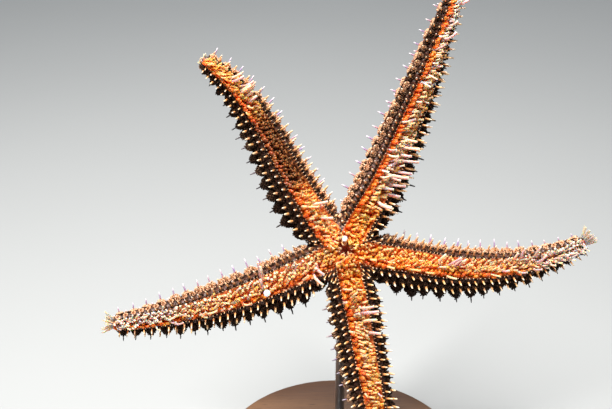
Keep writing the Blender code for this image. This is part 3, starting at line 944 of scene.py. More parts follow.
ARMS = (
    Arm(
        "right", -16, 15, 33, -6, 18, 26, -36, 135.5 * MM, 1.00,
        reaches=((0.38, 0.46, 0.85, 0.50), (0.68, 0.80, 0.60, 0.75)),
        drift=(0.66, 0.44),
        bloom=((0.0, 0.22, 0.50, 0.75, 0.90), (0.0, 0.25, 0.55, 0.95, 1.50)),
        windward=0.12,
        stray=1.0,
        domes=((0.0, 0.62, 0.80, 1.0), (1.0, 1.0, 0.40, 0.22)),
        cones=((0.0, 0.55, 0.75, 1.0), (1.0, 1.0, 0.75, 0.50)),
    ),
    Arm(
        "top", 61.5, 16, -7, 0, 10, -8, -28, 153 * MM, 1.01,
        reaches=((0.20, 0.46, 0.98, -0.16), (0.82, 0.97, 0.50, 0.70)),
        drift=(0.90, 0.18),
        bloom=((0.0, 0.15, 0.28, 0.50, 0.60, 0.85, 0.95), (0.0, 0.20, 1.00, 0.95, 0.75, 1.05, 1.50)),
        windward=0.08,
        domes=((0.0, 1.0), (0.60, 0.60)),
        cones=((0.0, 0.35, 0.55, 0.75, 1.0), (1.1, 1.1, 0.85, 0.60, 0.45)),
    ),
    Arm(
        "upper_left", 142.4, -104, 111, -8, 30, -22, 12, 132 * MM, 1.00,
        reaches=((0.15, 0.24, 0.98, -0.06), (0.74, 0.87, 0.75, 0.60)),
        drift=(0.85, 0.10),
        bloom=((0.0, 0.12, 0.25, 0.40, 0.80, 1.0), (0.1, 0.60, 0.45, 0.0, 0.25, 0.30)),
        brown=(0.32, 0.68),
        windward=0.16,
        feelers=0.45,
        cones=((0.0, 0.60, 0.80, 1.0), (1.0, 0.90, 0.60, 0.40)),
    ),
    Arm(
        "left", -149, -33, 9, -3, 12, -16, 36, 135 * MM, 1.00,
        reaches=((0.10, 0.17, 0.85, -0.60), (0.36, 0.42, -0.30, 0.90)),
        drift=(0.42, 0.50),
        bloom=((0.0, 0.07, 0.20, 0.40, 0.60, 0.80, 0.90), (0.0, 0.35, 0.80, 0.75, 0.75, 1.10, 1.50)),
        domes=((0.0, 0.70, 0.88, 1.0), (1.0, 1.0, 0.50, 0.40)),
    ),
    Arm(
        "lower", -81.4, 8, -8, 4, 8, 6, 2, 142 * MM, 1.01,
        reaches=((0.22, 0.34, 0.95, 0.05),),
        drift=(0.90, 0.05),
        bloom=((0.0, 0.14, 0.24, 0.40, 0.60, 1.0), (0.0, 0.05, 0.80, 0.60, 0.35, 0.7)),
        windward=0.12,
        domes=((0.0, 0.35, 1.0), (1.20, 1.50, 1.90)),
        cones=((0.0, 1.0), (0.55, 0.55)),
    ),
)


def whole_section(*half: tuple[float, float]) -> Array:
    """A closed section from the points of its one side, in order round it."""
    return np.array([*half, *[(-x, z) for x, z in reversed(half)]])


def rounded(section: Array, steps: int) -> Array:
    """A closed section as a smooth curve through its points.

    Args:
        section: (points, 2) the points.
        steps: how many steps the curve has for each.

    Returns:
        (points times steps, 2) places on the curve.
    """
    before, after, beyond = (np.roll(section, shift, 0) for shift in (1, -1, -2))
    t = (np.arange(steps) / steps)[:, None, None]
    linear = (after - before) * t
    square = (2 * before - 5 * section + 4 * after - beyond) * t**2
    cubic = (3 * section - before - 3 * after + beyond) * t**3
    return (section + (linear + square + cubic) / 2).swapaxes(0, 1).reshape(-1, 2)


@dataclass
class Body:
    """The star's flesh: five arms and the disc, under one skin without a seam.

    voxel is how finely the skin is meshed. Once it is built, the other parts ask it where their roots
    lie: for each of its points it knows the outward direction, the arm, how far along it the point lies,
    and where in its section. The grooves are cut down from the filled body. They begin starts before the
    disc's middle, end over fades before an arm's tip, and have a fine furrow in their floor.
    """

    voxel: float = 0.72 * MM
    ring_step: float = 1.6 * MM
    section_steps: int = 6
    least_width: float = 1.5 * MM
    groove_least_width: float = 0.6 * MM
    starts: float = 2.5 * MM
    fades: float = 6 * MM
    furrow_width: float = 0.07
    furrow_depth: float = 0.06
    pit_margin: float = 0.8 * MM
    pit_slope: float = 1.2 * MM
    floor_margin: float = 0.3 * MM
    plates: tuple[tuple[float, ...], ...] = (
        (2.2 * MM, 0.18 * MM, 0.21, 0.27, 0.03),
        (4.3 * MM, 0.26 * MM, 0.27, 0.47, 0.05),
    )
    lump_sizes: tuple[float, float] = (3.5 * MM, 8 * MM)
    lump_height: float = 0.45 * MM
    sight: float = 12 * MM
    sight_below: float = 8 * MM
    tree: BVHTree = field(init=False)
    points: Array = field(init=False)
    normals: Array = field(init=False)
    arm_index: Array = field(init=False)
    along: Array = field(init=False)
    across: Array = field(init=False)

    @cached_property
    def around(self) -> Array:
        """How far round its arm's section each point lies: 0 in the groove's middle, 1 on the ridge."""
        return np.arctan2(np.abs(self.across[:, 0]), self.across[:, 1]) / math.pi

    def arm_loft(self, arm: Arm) -> Shape:
        """The body of one arm, its groove still filled.

        Args:
            arm: which arm.

        Returns:
            A closed shape.
        """
        section = rounded(whole_section(GROOVE_LIP, *FLANK_AND_BACK), self.section_steps)
        count = round((arm.length + CENTRE_OVERRUN) / self.ring_step)
        along = np.linspace(-CENTRE_OVERRUN, arm.length * LOFT_ENDS_AT, count)
        place, side, up, _ = arm.frames(along)
        spokes = side[:, None] * section[:, :1] + up[:, None] * section[:, 1:]
        rings = place[:, None] + spokes * arm.half_width(along)[:, None, None]
        points = np.concatenate([place[:1], rings.reshape(-1, 3), place[-1:]])
        quads, ends = faces_round(count, len(section), 1, (0, len(points) - 1))
        return Shape(points, quads[:, ::-1], ends[:, ::-1])

    def remeshed(self, shape: Shape) -> bpy.types.Mesh:
        """Closed parts that overlap, made into one even skin.

        Args:
            shape: the parts.

        Returns:
            The skin, all in quads.
        """
        mesh = bpy.data.meshes.new("rough")
        mesh.from_pydata(shape.points.tolist(), [], [*shape.quads.tolist(), *shape.triangles.tolist()])
        rough = placed("rough", mesh)
        even = rough.modifiers.new("even", "REMESH")
        even.mode = "VOXEL"
        even.voxel_size = self.voxel
        smooth = rough.modifiers.new("smooth", "SMOOTH")
        smooth.factor = 0.5
        smooth.iterations = 3
        graph = bpy.context.evaluated_depsgraph_get()
        made = bpy.data.meshes.new_from_object(rough.evaluated_get(graph))
        bpy.data.objects.remove(rough)
        bpy.data.meshes.remove(mesh)
        return made

    def locate(self, points: Array) -> None:
        """Finds and keeps which arm each point lies on, how far along it, and where in its section.

        Args:
            points: places in the star's frame.
        """
        best = np.full(len(points), np.inf)
        self.arm_index = np.zeros(len(points), int)
        self.along = np.zeros(len(points))
        self.across = np.zeros((len(points), 2))
        for number, arm in enumerate(ARMS):
            along, section, near, _ = arm.section_at(points, 3, self.least_width)
            closer = near < best
            best[closer] = near[closer]
            self.arm_index[closer] = number
            self.along[closer] = np.clip(along, 0, arm.length)[closer]
            self.across[closer] = section[closer]

    def groove_depth(self, points: Array) -> Array:
        """How far points of the filled body sink, where they lie over a groove or the mouth.

        Args:
            points: places in the star's frame.

        Returns:
            The depth at each, in metres.
        """
        depth = GROOVE_LIP[1] - GROOVE_FLOOR[1]
        sunk = np.zeros(len(points))
        for arm in ARMS:
            along, section, _, width = arm.section_at(points, 2, self.groove_least_width)
            x, z = np.abs(section[:, 0]), section[:, 1]
            wall = smoothstep((GROOVE_LIP[0] + 0.02 - x) / (GROOVE_LIP[0] - GROOVE_FLOOR[0]))
            furrow = self.furrow_depth * np.exp(-((x / self.furrow_width) ** 2))
            ends = smoothstep(along / self.starts + 1) * smoothstep((arm.length - along) / self.fades)
            top = smoothstep((z - 0.25) / 0.25)
            sunk = np.maximum(sunk, (wall * depth + furrow) * top * width * ends)
        out = np.hypot(points[:, 0], points[:, 1])
        pit = smoothstep((MOUTH_RADIUS + self.pit_margin - out) / self.pit_slope)
        floor = points[:, 2] - (MOUTH_FLOOR + self.floor_margin)
        return np.where(points[:, 2] > 0, np.maximum(sunk, pit * np.maximum(floor, 0)), 0)

    def relief(self) -> Array:
        """How far the skin stands out over its plates, in metres."""
        height = ripples(self.points, *self.lump_sizes, SEED) * band(self.around, 0.42, 1.2, 0.1)
        height = height * self.lump_height
        for spacing, high, *limits in self.plates:
            height = height + high * np.cos(TAU * self.along / spacing) * band(self.around, *limits)
        return height * np.array([arm.breadth for arm in ARMS])[self.arm_index]

    def build(self, finish: SkinFinish) -> bpy.types.Object:
        """Makes the skin.

        Args:
            finish: its finish.

        Returns:
            The piece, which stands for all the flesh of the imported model.
        """
        dome = ball(np.zeros((1, 3)), UP[None], DOME_RADIUS, DOME_DEPTH, 24, 48)
        mesh = self.remeshed(joined([*[self.arm_loft(arm) for arm in ARMS], dome]))
        points = np.empty(len(mesh.vertices) * 3, np.float32)
        mesh.vertices.foreach_get("co", points)
        points = points.reshape(-1, 3).astype(float)
        corners = np.empty(len(mesh.loops), np.int32)
        mesh.loops.foreach_get("vertex_index", corners)
        bpy.data.meshes.remove(mesh)
        quads = corners.reshape(-1, 4)
        points[:, 2] -= self.groove_depth(points)
        self.points = points
        self.locate(points)
        self.points = points + self.point_normals(points, quads) * self.relief()[:, None]
        self.normals = self.point_normals(self.points, quads)
        self.tree = BVHTree.FromPolygons(self.points.tolist(), quads.tolist())
        shape = Shape(self.points, quads, np.empty((0, 3), int), self.tones())
        return shape.show("skin", finish.make(), Slot.SKIN)

    def tones(self) -> Values:
        """What the skin's colours depend on. In the groove it is as pale and brown as its feet, the brown
        being partly painted shade.
        """
        x, z = np.abs(self.across[:, 0]), self.across[:, 1]
        pale = np.zeros(len(x))
        brown = np.zeros(len(x))
        for number, arm in enumerate(ARMS):
            here = self.arm_index == number
            share = self.along[here] / arm.length
            pale[here] = np.interp(share, *arm.bloom)
            # brown is partly the feet's own brown and partly painted shade where the arm bends away.
            brown[here] = arm.browned_with_painted_shade(share)
        return {
            "groove": smoothstep((0.60 - x) / 0.09) * smoothstep((z - 0.15) / 0.15),
            "behind": smoothstep((self.around - 0.45) / 0.15),
            "rust": band(self.around, 0.24, 0.36, 0.06) * 0.2 + band(self.around, 0.62, 1.1, 0.1) * 0.45,
            "pale": pale,
            "brown": brown,
        }

    def point_normals(self, points: Array, quads: Array) -> Array:
        """The skin's outward directions.

        Args:
            points: the skin's points.
            quads: its faces.

        Returns:
            The direction at each point.
        """
        faces = np.cross(points[quads[:, 2]] - points[quads[:, 0]], points[quads[:, 3]] - points[quads[:, 1]])
        total = np.zeros_like(points)
        for corner in range(4):
            np.add.at(total, quads[:, corner], faces)
        return unit(total)

    def roots(self, aims: Array, outs: Array) -> Array:
        """Where the skin lies below places.

        Args:
            aims: the places.
            outs: which way is out at each.

        Returns:
            For each, the nearest place that is seen from outside, or no numbers.
        """
        depth = self.sight + self.sight_below
        rays = [(Vector(aim + out * self.sight), Vector(-out)) for aim, out in zip(aims, outs)]
        hits = [self.tree.ray_cast(start, inwards, depth)[0] for start, inwards in rays]
        return np.array([[math.nan] * 3 if hit is None else hit for hit in hits])

    def open_places(
        self, number: int, allowed: Array, count: int, ruffle: float, draw: Draw
    ) -> tuple[Array, Array, Array]:
        """Random places on one arm's sides and back.

        Args:
            number: which arm.
            allowed: whether each of the skin's points may be one.
            count: how many places.
            ruffle: how far things that stand there lean at random.
            draw: where the choice comes from.

        Returns:
            Which of the skin's points they are, which way things stand there, and their places on the
            map for the bake.
        """
        chosen = draw.choice(np.flatnonzero(allowed & (self.arm_index == number)), count, replace=False)
        out = unit(self.normals[chosen] + draw.normal(0, ruffle, (count, 3)))
        turn = 0.5 + np.sign(self.across[chosen, 0]) * self.around[chosen] / 2
        return chosen, out, ARMS[number].on_map(self.along[chosen], turn)

    def free_side(self, arm: Arm, places: Array) -> Array:
        """How far places are from the bodies of the other arms.

        Args:
            arm: the arm that they belong to.
            places: the places.

        Returns:
            The distance of each.
        """
        nearest = np.full(len(places), np.inf)
        for other in ARMS:
            if other is arm:
                continue
            line = other.line[0][::4]
            width = other.half_width(np.linspace(0, other.length, len(line)))
            away = np.linalg.norm(places[:, None] - line[None], axis=2) - width
            nearest = np.minimum(nearest, away.min(1))
        return nearest


@dataclass(frozen=True)
class SpineRow:
    """A row of spines along an arm, on both its sides unless its root is on the middle line.

    root and out are places and directions in the section. hook is how far a spine's tip bends to the
    mouth side, in lengths. A wreathed spine stands in a cushion of this radius and height, covered by
    this many pincers, which are as light as light says before painted light and shade. shift moves the
    row along by a share of its spacing. On the light side spines are shorter by the share in sunk, and
    cushions lower by that in flat. level is how far the row is laid flat into the star's plane, and dusk
    is how dark its spines are painted, as painted shade, on the shaded side. Its pincers keep the share in
    shade of their lightness there, as painted shade, and all of it on the light side as painted light.
    """

    root: tuple[float, float]
    out: tuple[float, float]
    spacing: float
    start: float
    length: float
    radius: float
    violet: float = 0.0
    hook: float = 0.0
    cushion: tuple[float, float] = (0.0, 0.0)
    pincers: int = 0
    light: float = 0.0
    shift: float = 0.0
    sunk: float = 0.0
    level: float = 0.0
    dusk: float = 0.0
    shade: float = 0.03
    flat: float = 0.0

    def lightness_with_painted_light(self, sunny: Array) -> Array:
        """How light its pincers are painted where they lie this far on the light side: lighter there as
        painted light, darker on the far side as painted shade.
        """
        return self.light * (self.shade + (1 - self.shade) * sunny)


ROWS = {
    "furrow": SpineRow((0.53, 0.63), (0.50, 0.87), 2.1 * MM, 9 * MM, 2.2 * MM, 0.28 * MM, hook=0.1),
    "inner_edge": SpineRow(
        (0.67, 0.58), (0.66, 0.75), 4.3 * MM, 11 * MM, 5.0 * MM, 0.60 * MM, hook=0.18,
        cushion=(1.30 * MM, 1.1 * MM), pincers=16, light=0.18, shade=0.4,
    ),
    "outer_edge": SpineRow(
        (0.91, 0.26), (0.87, 0.49), 4.3 * MM, 13 * MM, 5.6 * MM, 0.68 * MM, hook=0.26,
        cushion=(1.95 * MM, 2.9 * MM), pincers=38, light=1.50, sunk=0.10, flat=0.10,
    ),
    "upper_edge": SpineRow(
        (0.92, -0.17), (1.00, -0.24), 7.5 * MM, 18 * MM, 9.2 * MM, 0.54 * MM, violet=0.80,
        cushion=(4.1 * MM, 6.4 * MM), pincers=104, light=1.0, sunk=0.14, level=0.75, dusk=1.0, flat=0.55,
    ),
    "back_side": SpineRow(
        (0.62, -0.67), (0.58, -0.81), 8.6 * MM, 17 * MM, 4.8 * MM, 0.52 * MM, violet=0.7,
        cushion=(2.1 * MM, 2.6 * MM), pincers=44, light=0.70, shift=0.5,
    ),
    "keel": SpineRow(
        (0.0, -0.85), (0.0, -1.0), 8.8 * MM, 12.5 * MM, 6.2 * MM, 0.60 * MM, violet=0.8,
        cushion=(2.6 * MM, 3.6 * MM), pincers=72, light=0.70,
    ),
    "disc_back": SpineRow(
        (0.0, -0.85), (0.0, -1.0), 0.0, 13.5 * MM, 5.4 * MM, 0.58 * MM, violet=0.8,
        cushion=(2.4 * MM, 3.2 * MM), pincers=64, light=0.70,
    ),
}

# A spine's rings: shares of its length, and radii there as shares of its radius.
SHAFT_HEIGHTS = np.array([-0.25, -0.2, 0.0, 0.35, 0.62, 0.82, 0.93, 0.985, 1.0])
SHAFT_WIDTHS = np.array([0.0, 1.0, 1.0, 0.94, 0.86, 0.76, 0.64, 0.40, 0.0])

# A cushion's shares of height, and its radius at each: in the shade and on the light side.
CUSHION_SHARES = np.array([0.0, 0.22, 0.48, 0.74, 0.92, 1.0])
CUSHION_POINTED = np.array([1.0, 0.95, 0.76, 0.48, 0.27, 0.15])
CUSHION_DOMED = np.array([1.0, 1.00, 0.90, 0.68, 0.46, 0.30])


def cushion_width(share: Array, sunny: Array) -> Array:
    """A cushion's radius at shares of its height, as a share of its widest."""
    pointed = np.interp(share, CUSHION_SHARES, CUSHION_POINTED)
    return pointed + (np.interp(share, CUSHION_SHARES, CUSHION_DOMED) - pointed) * sunny


@dataclass(frozen=True)
class Peg:
    """A tiny blunt body with four sides.

    widths and heights are its rings' shares of its radius and length, and tips the numbers that tell its
    finish where its tip is.
    """

    radius: float
    length: float
    widths: tuple[float, ...]
    heights: tuple[float, ...]
    tips: tuple[float, ...]

    def crowd(self, places: Array, outs: Array, size: Array, values: Values, roots: Array) -> Shape:
        """Many of them.

        Args:
            places: their roots.
            outs: which way they point.
            size: how large each is.
            values: (pegs, 1) numbers for their points to carry, by name.
            roots: their places on the map for the bake.

        Returns:
            All of them as one shape.
        """
        radii = np.array(self.widths) * self.radius * size[:, None]
        lines = straight(places, outs, np.array(self.heights) * self.length * size[:, None])
        values = {"tip": np.array(self.tips)} | values
        return tubes(*lines, radii, 4, values, np.clip(roots, PATCH, 1 - PATCH))


PINCER = Peg(0.40 * MM, 0.85 * MM, (0.0, 0.85, 0.95, 0.0), (-0.25, 0.05, 0.74, 1.0), (0.0, 0.2, 0.8, 1.0))
GILL = Peg(0.24 * MM, 1.1 * MM, (0.0, 1.0, 0.8, 0.0), (-0.3, 0.0, 0.8, 1.0), (0.0, 0.1, 0.8, 1.0))


@dataclass
class Stood:
    """Where the spines of a row stand, one row of each array a spine.

    aside is where a hooked spine bends to, free how far it is from the other arms, and spot its place on
    the map for the bake. sunny is how far it lies on the light side, and cone and dome are how large its
    cushion is on the shaded and on the light side.
    """

    root: Array
    out: Array
    aside: Array
    length: Array
    scale: Array
    free: Array
    spot: Array
    sunny: Array
    cone: Array
    dome: Array


@dataclass
class Spines:
    """The spines of one arm, with the wreaths of pincers round them.

    A spine keeps gap from the other arms, and more where it points to the mouth side. It is left out
    where it would be too short, or where its root lies far from where the row aims.
    """

    arm: Arm
    body: Body
    number: int
    smallest_scale: float = 0.5
    wander: float = 0.08
    forward: float = 0.10
    bare_tip: float = 2 * MM
    shortest: float = 1.2 * MM
    farthest_root: float = 3 * MM
    gap: float = 0.6 * MM
    gap_raised: float = 3 * MM
    sunny_narrowing: float = 0.33
    least_room: float = 1.2 * MM
    core_sides: int = 10
    strays: int = 580
    strays_from: float = 13 * MM

    def stand(self, row: SpineRow, draw: Draw) -> Stood:
        """Where the spines of a row stand.

        Args:
            row: which row.
            draw: where their differences come from.

        Returns:
            Their roots, directions and sizes.
        """
        arm = self.arm
        end = arm.length - self.bare_tip
        places = arm.places(row.start, end, row.spacing) + row.shift * row.spacing
        sides = []
        for hand in (-1, 1) if row.root[0] else (1,):
            along = places + draw.uniform(-self.wander, self.wander, len(places)) * row.spacing
            along = along[along < end]
            place, side, up, ahead = arm.frames(along)
            width = arm.half_width(along)
            turn = draw.uniform(-self.wander, self.wander, (len(along), 3))
            out = side * (hand * (row.out[0] + turn[:, :1])) + up * (row.out[1] + turn[:, 1:2])
            out = unit(out + ahead * (self.forward + turn[:, 2:]))
            out = unit(out * [1, 1, 1 - row.level])
            sunny = self.sunny(out)
            cone = np.interp(along / arm.length, *arm.cones) if row.dusk else np.ones(len(along))
            cone = cone + (1 - cone) * sunny
            dome = np.interp(along / arm.length, *arm.domes)
            aim = place + (side * (hand * row.root[0]) + up * row.root[1]) * width[:, None]
            free = self.body.free_side(arm, aim)
            scale = self.smallest_scale + (1 - self.smallest_scale) * width / HALF_WIDTH
            length = row.length * scale**0.7 * draw.uniform(0.88, 1.1, len(along)) * (1 - row.sunk * sunny)
            length *= cone * (1 + (np.sqrt(dome) - 1) * sunny)
            length = np.minimum(length, (free - self.gap + max(row.out[1], 0) * self.gap_raised) / 1.8)
            root = self.body.roots(aim, out)
            kept = (np.linalg.norm(root - aim, axis=1) <= self.farthest_root) & (length >= self.shortest)
            kept &= [not self.near_rod(tip) for tip in root + out * length[:, None]]
            around = np.full(len(along), 0.5 + hand * math.atan2(*row.root) / TAU)
            aside = unit(up + 0.5 * ahead)
            spot = arm.on_map(along, around)
            every = (root, out, aside, length, scale, free, spot, sunny, cone, dome)
            sides.append([each[kept] for each in every])
        return Stood(*[np.concatenate(parts) for parts in zip(*sides)])

    def sunny(self, out: Array) -> Array:
        """How far things that point out this way lie on the light side, from 0 to 1."""
        return smoothstep((out @ LIGHT_SIDE + 0.20 - 0.5 * out[:, 2]) / 0.5)

    def near_rod(self, place: Array) -> bool:
        """Whether a spine's tip comes too near the rod that holds the star."""
        back = STAR_POSE @ Vector(place)
        return any((back - point).length < ROD_RADIUS + ROD_CLEARANCE for point in rod_line()[1:])

    def shafts(self, row: SpineRow, stood: Stood, draw: Draw) -> Shape:
        """The spines of a row as blunt, tapering rods, bent if the row is.

        Args:
            row: which row.
            stood: where its spines stand.
            draw: where their differences come from.

        Returns:
            All of them as one shape.
        """
        count = len(stood.length)
        radii = SHAFT_WIDTHS * row.radius * stood.scale[:, None] * draw.uniform(0.88, 1.12, (count, 1))
        values = {
            "tip": np.clip(SHAFT_HEIGHTS, 0, 1),
            "tone": draw.uniform(0, 1, (count, 1)),
            "violet": np.clip(row.violet + draw.uniform(-0.15, 0.15, (count, 1)), 0, 1),
            # Painted shade: spines of a dusk row are darkened on the side away from the light.
            "dusk": row.dusk * (1 - stood.sunny[:, None]),
        }
        centres, aheads = straight(stood.root, stood.out, SHAFT_HEIGHTS * stood.length[:, None])
        pulled = stood.aside[:, None] * row.hook
        past = np.clip(SHAFT_HEIGHTS, 0, None)[:, None]
        centres = centres + pulled * past**2 * stood.length[:, None, None]
        return tubes(centres, aheads + pulled * 2 * past, radii, 8 if row.pincers else 6, values, stood.spot)

    def cushions(self, row: SpineRow, stood: Stood, draw: Draw) -> tuple[Shape, Shape]:
        """The cushion round each spine of a row, and the pincers that cover it.

        Args:
            row: which row.
            stood: where its spines stand.
            draw: where their differences come from.

        Returns:
            The cores, and the pincers.
        """
        count = len(stood.length)
        scale = stood.scale * draw.uniform(0.9, 1.1, count) * stood.cone
        radius = row.cushion[0] * scale * (1 - self.sunny_narrowing * stood.sunny)
        radius = np.minimum(radius, np.maximum(stood.free, self.least_room) * 0.55)
        lowered = (1 - row.flat * stood.sunny) * (1 + (stood.dome - 1) * stood.sunny)
        height = np.minimum(row.cushion[1] * scale * lowered, stood.length * 0.80)
        share = np.array([-0.45, -0.4, *CUSHION_SHARES, 1.0])
        radii = cushion_width(share, stood.sunny[:, None]) * radius[:, None]
        turn = np.arange(self.core_sides) * TAU / self.core_sides
        lobes = 1 + 0.05 * np.sin(turn * 3 + draw.uniform(0, TAU, (count, 1, 1)))
        # The cores carry the row's painted light and shade.
        values = {
            "tip": np.clip(share, 0, 1) * 0.25,
            "tone": draw.uniform(0, 1, (count, 1)),
            "light": row.lightness_with_painted_light(stood.sunny[:, None]) * 0.25,
        }
        lines = straight(stood.root, stood.out, share * height[:, None])
        core = tubes(*lines, radii[:, :, None] * lobes, self.core_sides, values, stood.spot)
        return core, self.pincers(row, stood, radius, height, draw)

    def pincers(self, row: SpineRow, stood: Stood, radius: Array, height: Array, draw: Draw) -> Shape:
        """The tiny pincers that cover the cushions of a row.

        Args:
            row: which row.
            stood: where its spines stand.
            radius: each cushion's radius.
            height: its height.
            draw: where their differences come from.

        Returns:
            All of them as one shape.
        """
        many = (len(radius), row.pincers)
        order = np.arange(row.pincers)
        share = 1 - np.sqrt((order + 0.5) / row.pincers)
        up = np.clip(share + draw.normal(0, 0.025, many), 0, 1)
        turn = order * GOLDEN_TURN + draw.normal(0, 0.12, many)
        sunny = stood.sunny[:, None]
        wide = cushion_width(up, sunny)
        slope = (cushion_width(up + 0.05, sunny) - cushion_width(up - 0.05, sunny)) / 0.1
        out = stood.out
        first = unit(np.cross(out, np.eye(3)[np.abs(out).argmin(1)]))
        second = np.cross(out, first)
        ray = np.cos(turn)[..., None] * first[:, None] + np.sin(turn)[..., None] * second[:, None]
        rise = out[:, None] * (up * height[:, None])[..., None]
        place = stood.root[:, None] + rise + ray * (wide * radius[:, None])[..., None]
        steep = -slope * radius[:, None] / height[:, None]
        facing = unit(ray + out[:, None] * (np.maximum(steep, 0.15) + 0.45)[..., None])
        facing = unit(facing + draw.normal(0, 0.16, facing.shape))
        size = draw.uniform(0.8, 1.2, many) * (0.62 + 0.38 * stood.scale)[:, None]
        # Painted light and shade: pincers are lighter on the star's light side, darker on its far side, and
        # painted darker towards the cushion's foot as shade between cushions.
        light = row.lightness_with_painted_light(sunny) * draw.uniform(0.85, 1.15, many)
        light = light * (0.04 + 0.96 * smoothstep((up - 0.12) / 0.35))
        values = {"tone": draw.uniform(0, 1, (size.size, 1)), "light": np.clip(light, 0, 1).reshape(-1, 1)}
        ring = np.stack([np.cos(turn), np.sin(turn)], 2) * (2 * PATCH * wide)[..., None]
        roots = (stood.spot[:, None] + ring).reshape(-1, 2)
        return PINCER.crowd(place.reshape(-1, 3), facing.reshape(-1, 3), size.ravel(), values, roots)

    def scattered(self) -> Shape:
        """Single pincers on the skin between the spines."""
        body = self.body
        draw = np.random.default_rng((SEED, self.number, 500))
        open_skin = (body.around > 0.30) & ((body.along > self.strays_from) | (body.points[:, 2] < 0))
        chosen, out, roots = body.open_places(self.number, open_skin, self.strays, 0.25, draw)
        size = draw.uniform(0.8, 1.35, self.strays)
        # Painted light: single pincers facing the light side are painted lighter; the rest stay dark as
        # painted shade.
        light = self.sunny(body.normals[chosen]) * smoothstep((body.around[chosen] - 0.33) / 0.1) * 0.12
        values = {"tone": draw.uniform(0, 1, (self.strays, 1)), "light": light[:, None]}
        return PINCER.crowd(body.points[chosen], out, size, values, roots)

    def disc_back(self, row: SpineRow) -> Stood:
        """Where the disc's back bears a spine, between this arm and the following one.

        Args:
            row: the disc's spines.

        Returns:
            The spine's root, direction and size.
        """
        following = ARMS[(self.number + 1) % len(ARMS)]
        turn = math.radians(self.arm.heading)
        between = turn + ((math.radians(following.heading) - turn) % TAU) / 2
        flat = np.array([math.cos(between), math.sin(between), 0.0])
        out = unit(flat * row.start * 18 - UP)[None]
        root = self.body.roots([flat * row.start - UP * DOME_DEPTH], [-UP])
        spot = 0.5 + flat[None, :2] * row.start / DISC_ON_MAP
        one = np.ones(1)
        return Stood(root, out, out, one * row.length, one, one * 10 * MM, spot, one, one, one)

    def build(self, spine_finish: Material, wreath_finish: Material) -> None:
        """Makes the arm's spines and its wreaths.

        Args:
            spine_finish: the spines' material.
            wreath_finish: the material of the cushions and the pincers.
        """
        shafts = []
        wreaths = []
        for index, (name, row) in enumerate(ROWS.items()):
            draw = np.random.default_rng((SEED, self.number, index))
            stood = self.disc_back(row) if name == "disc_back" else self.stand(row, draw)
            shafts.append(self.shafts(row, stood, draw))
            if row.pincers:
                wreaths.append(self.cushions(row, stood, draw))
        cores, pincers = zip(*wreaths)
        joined(shafts).show(f"spines_{self.arm.name}", spine_finish, Slot.SKIN)
        joined(cores).show(f"cushions_{self.arm.name}", wreath_finish, Slot.SKIN)
        joined([*pincers, self.scattered()]).show(f"pincers_{self.arm.name}", wreath_finish, Slot.SKIN)


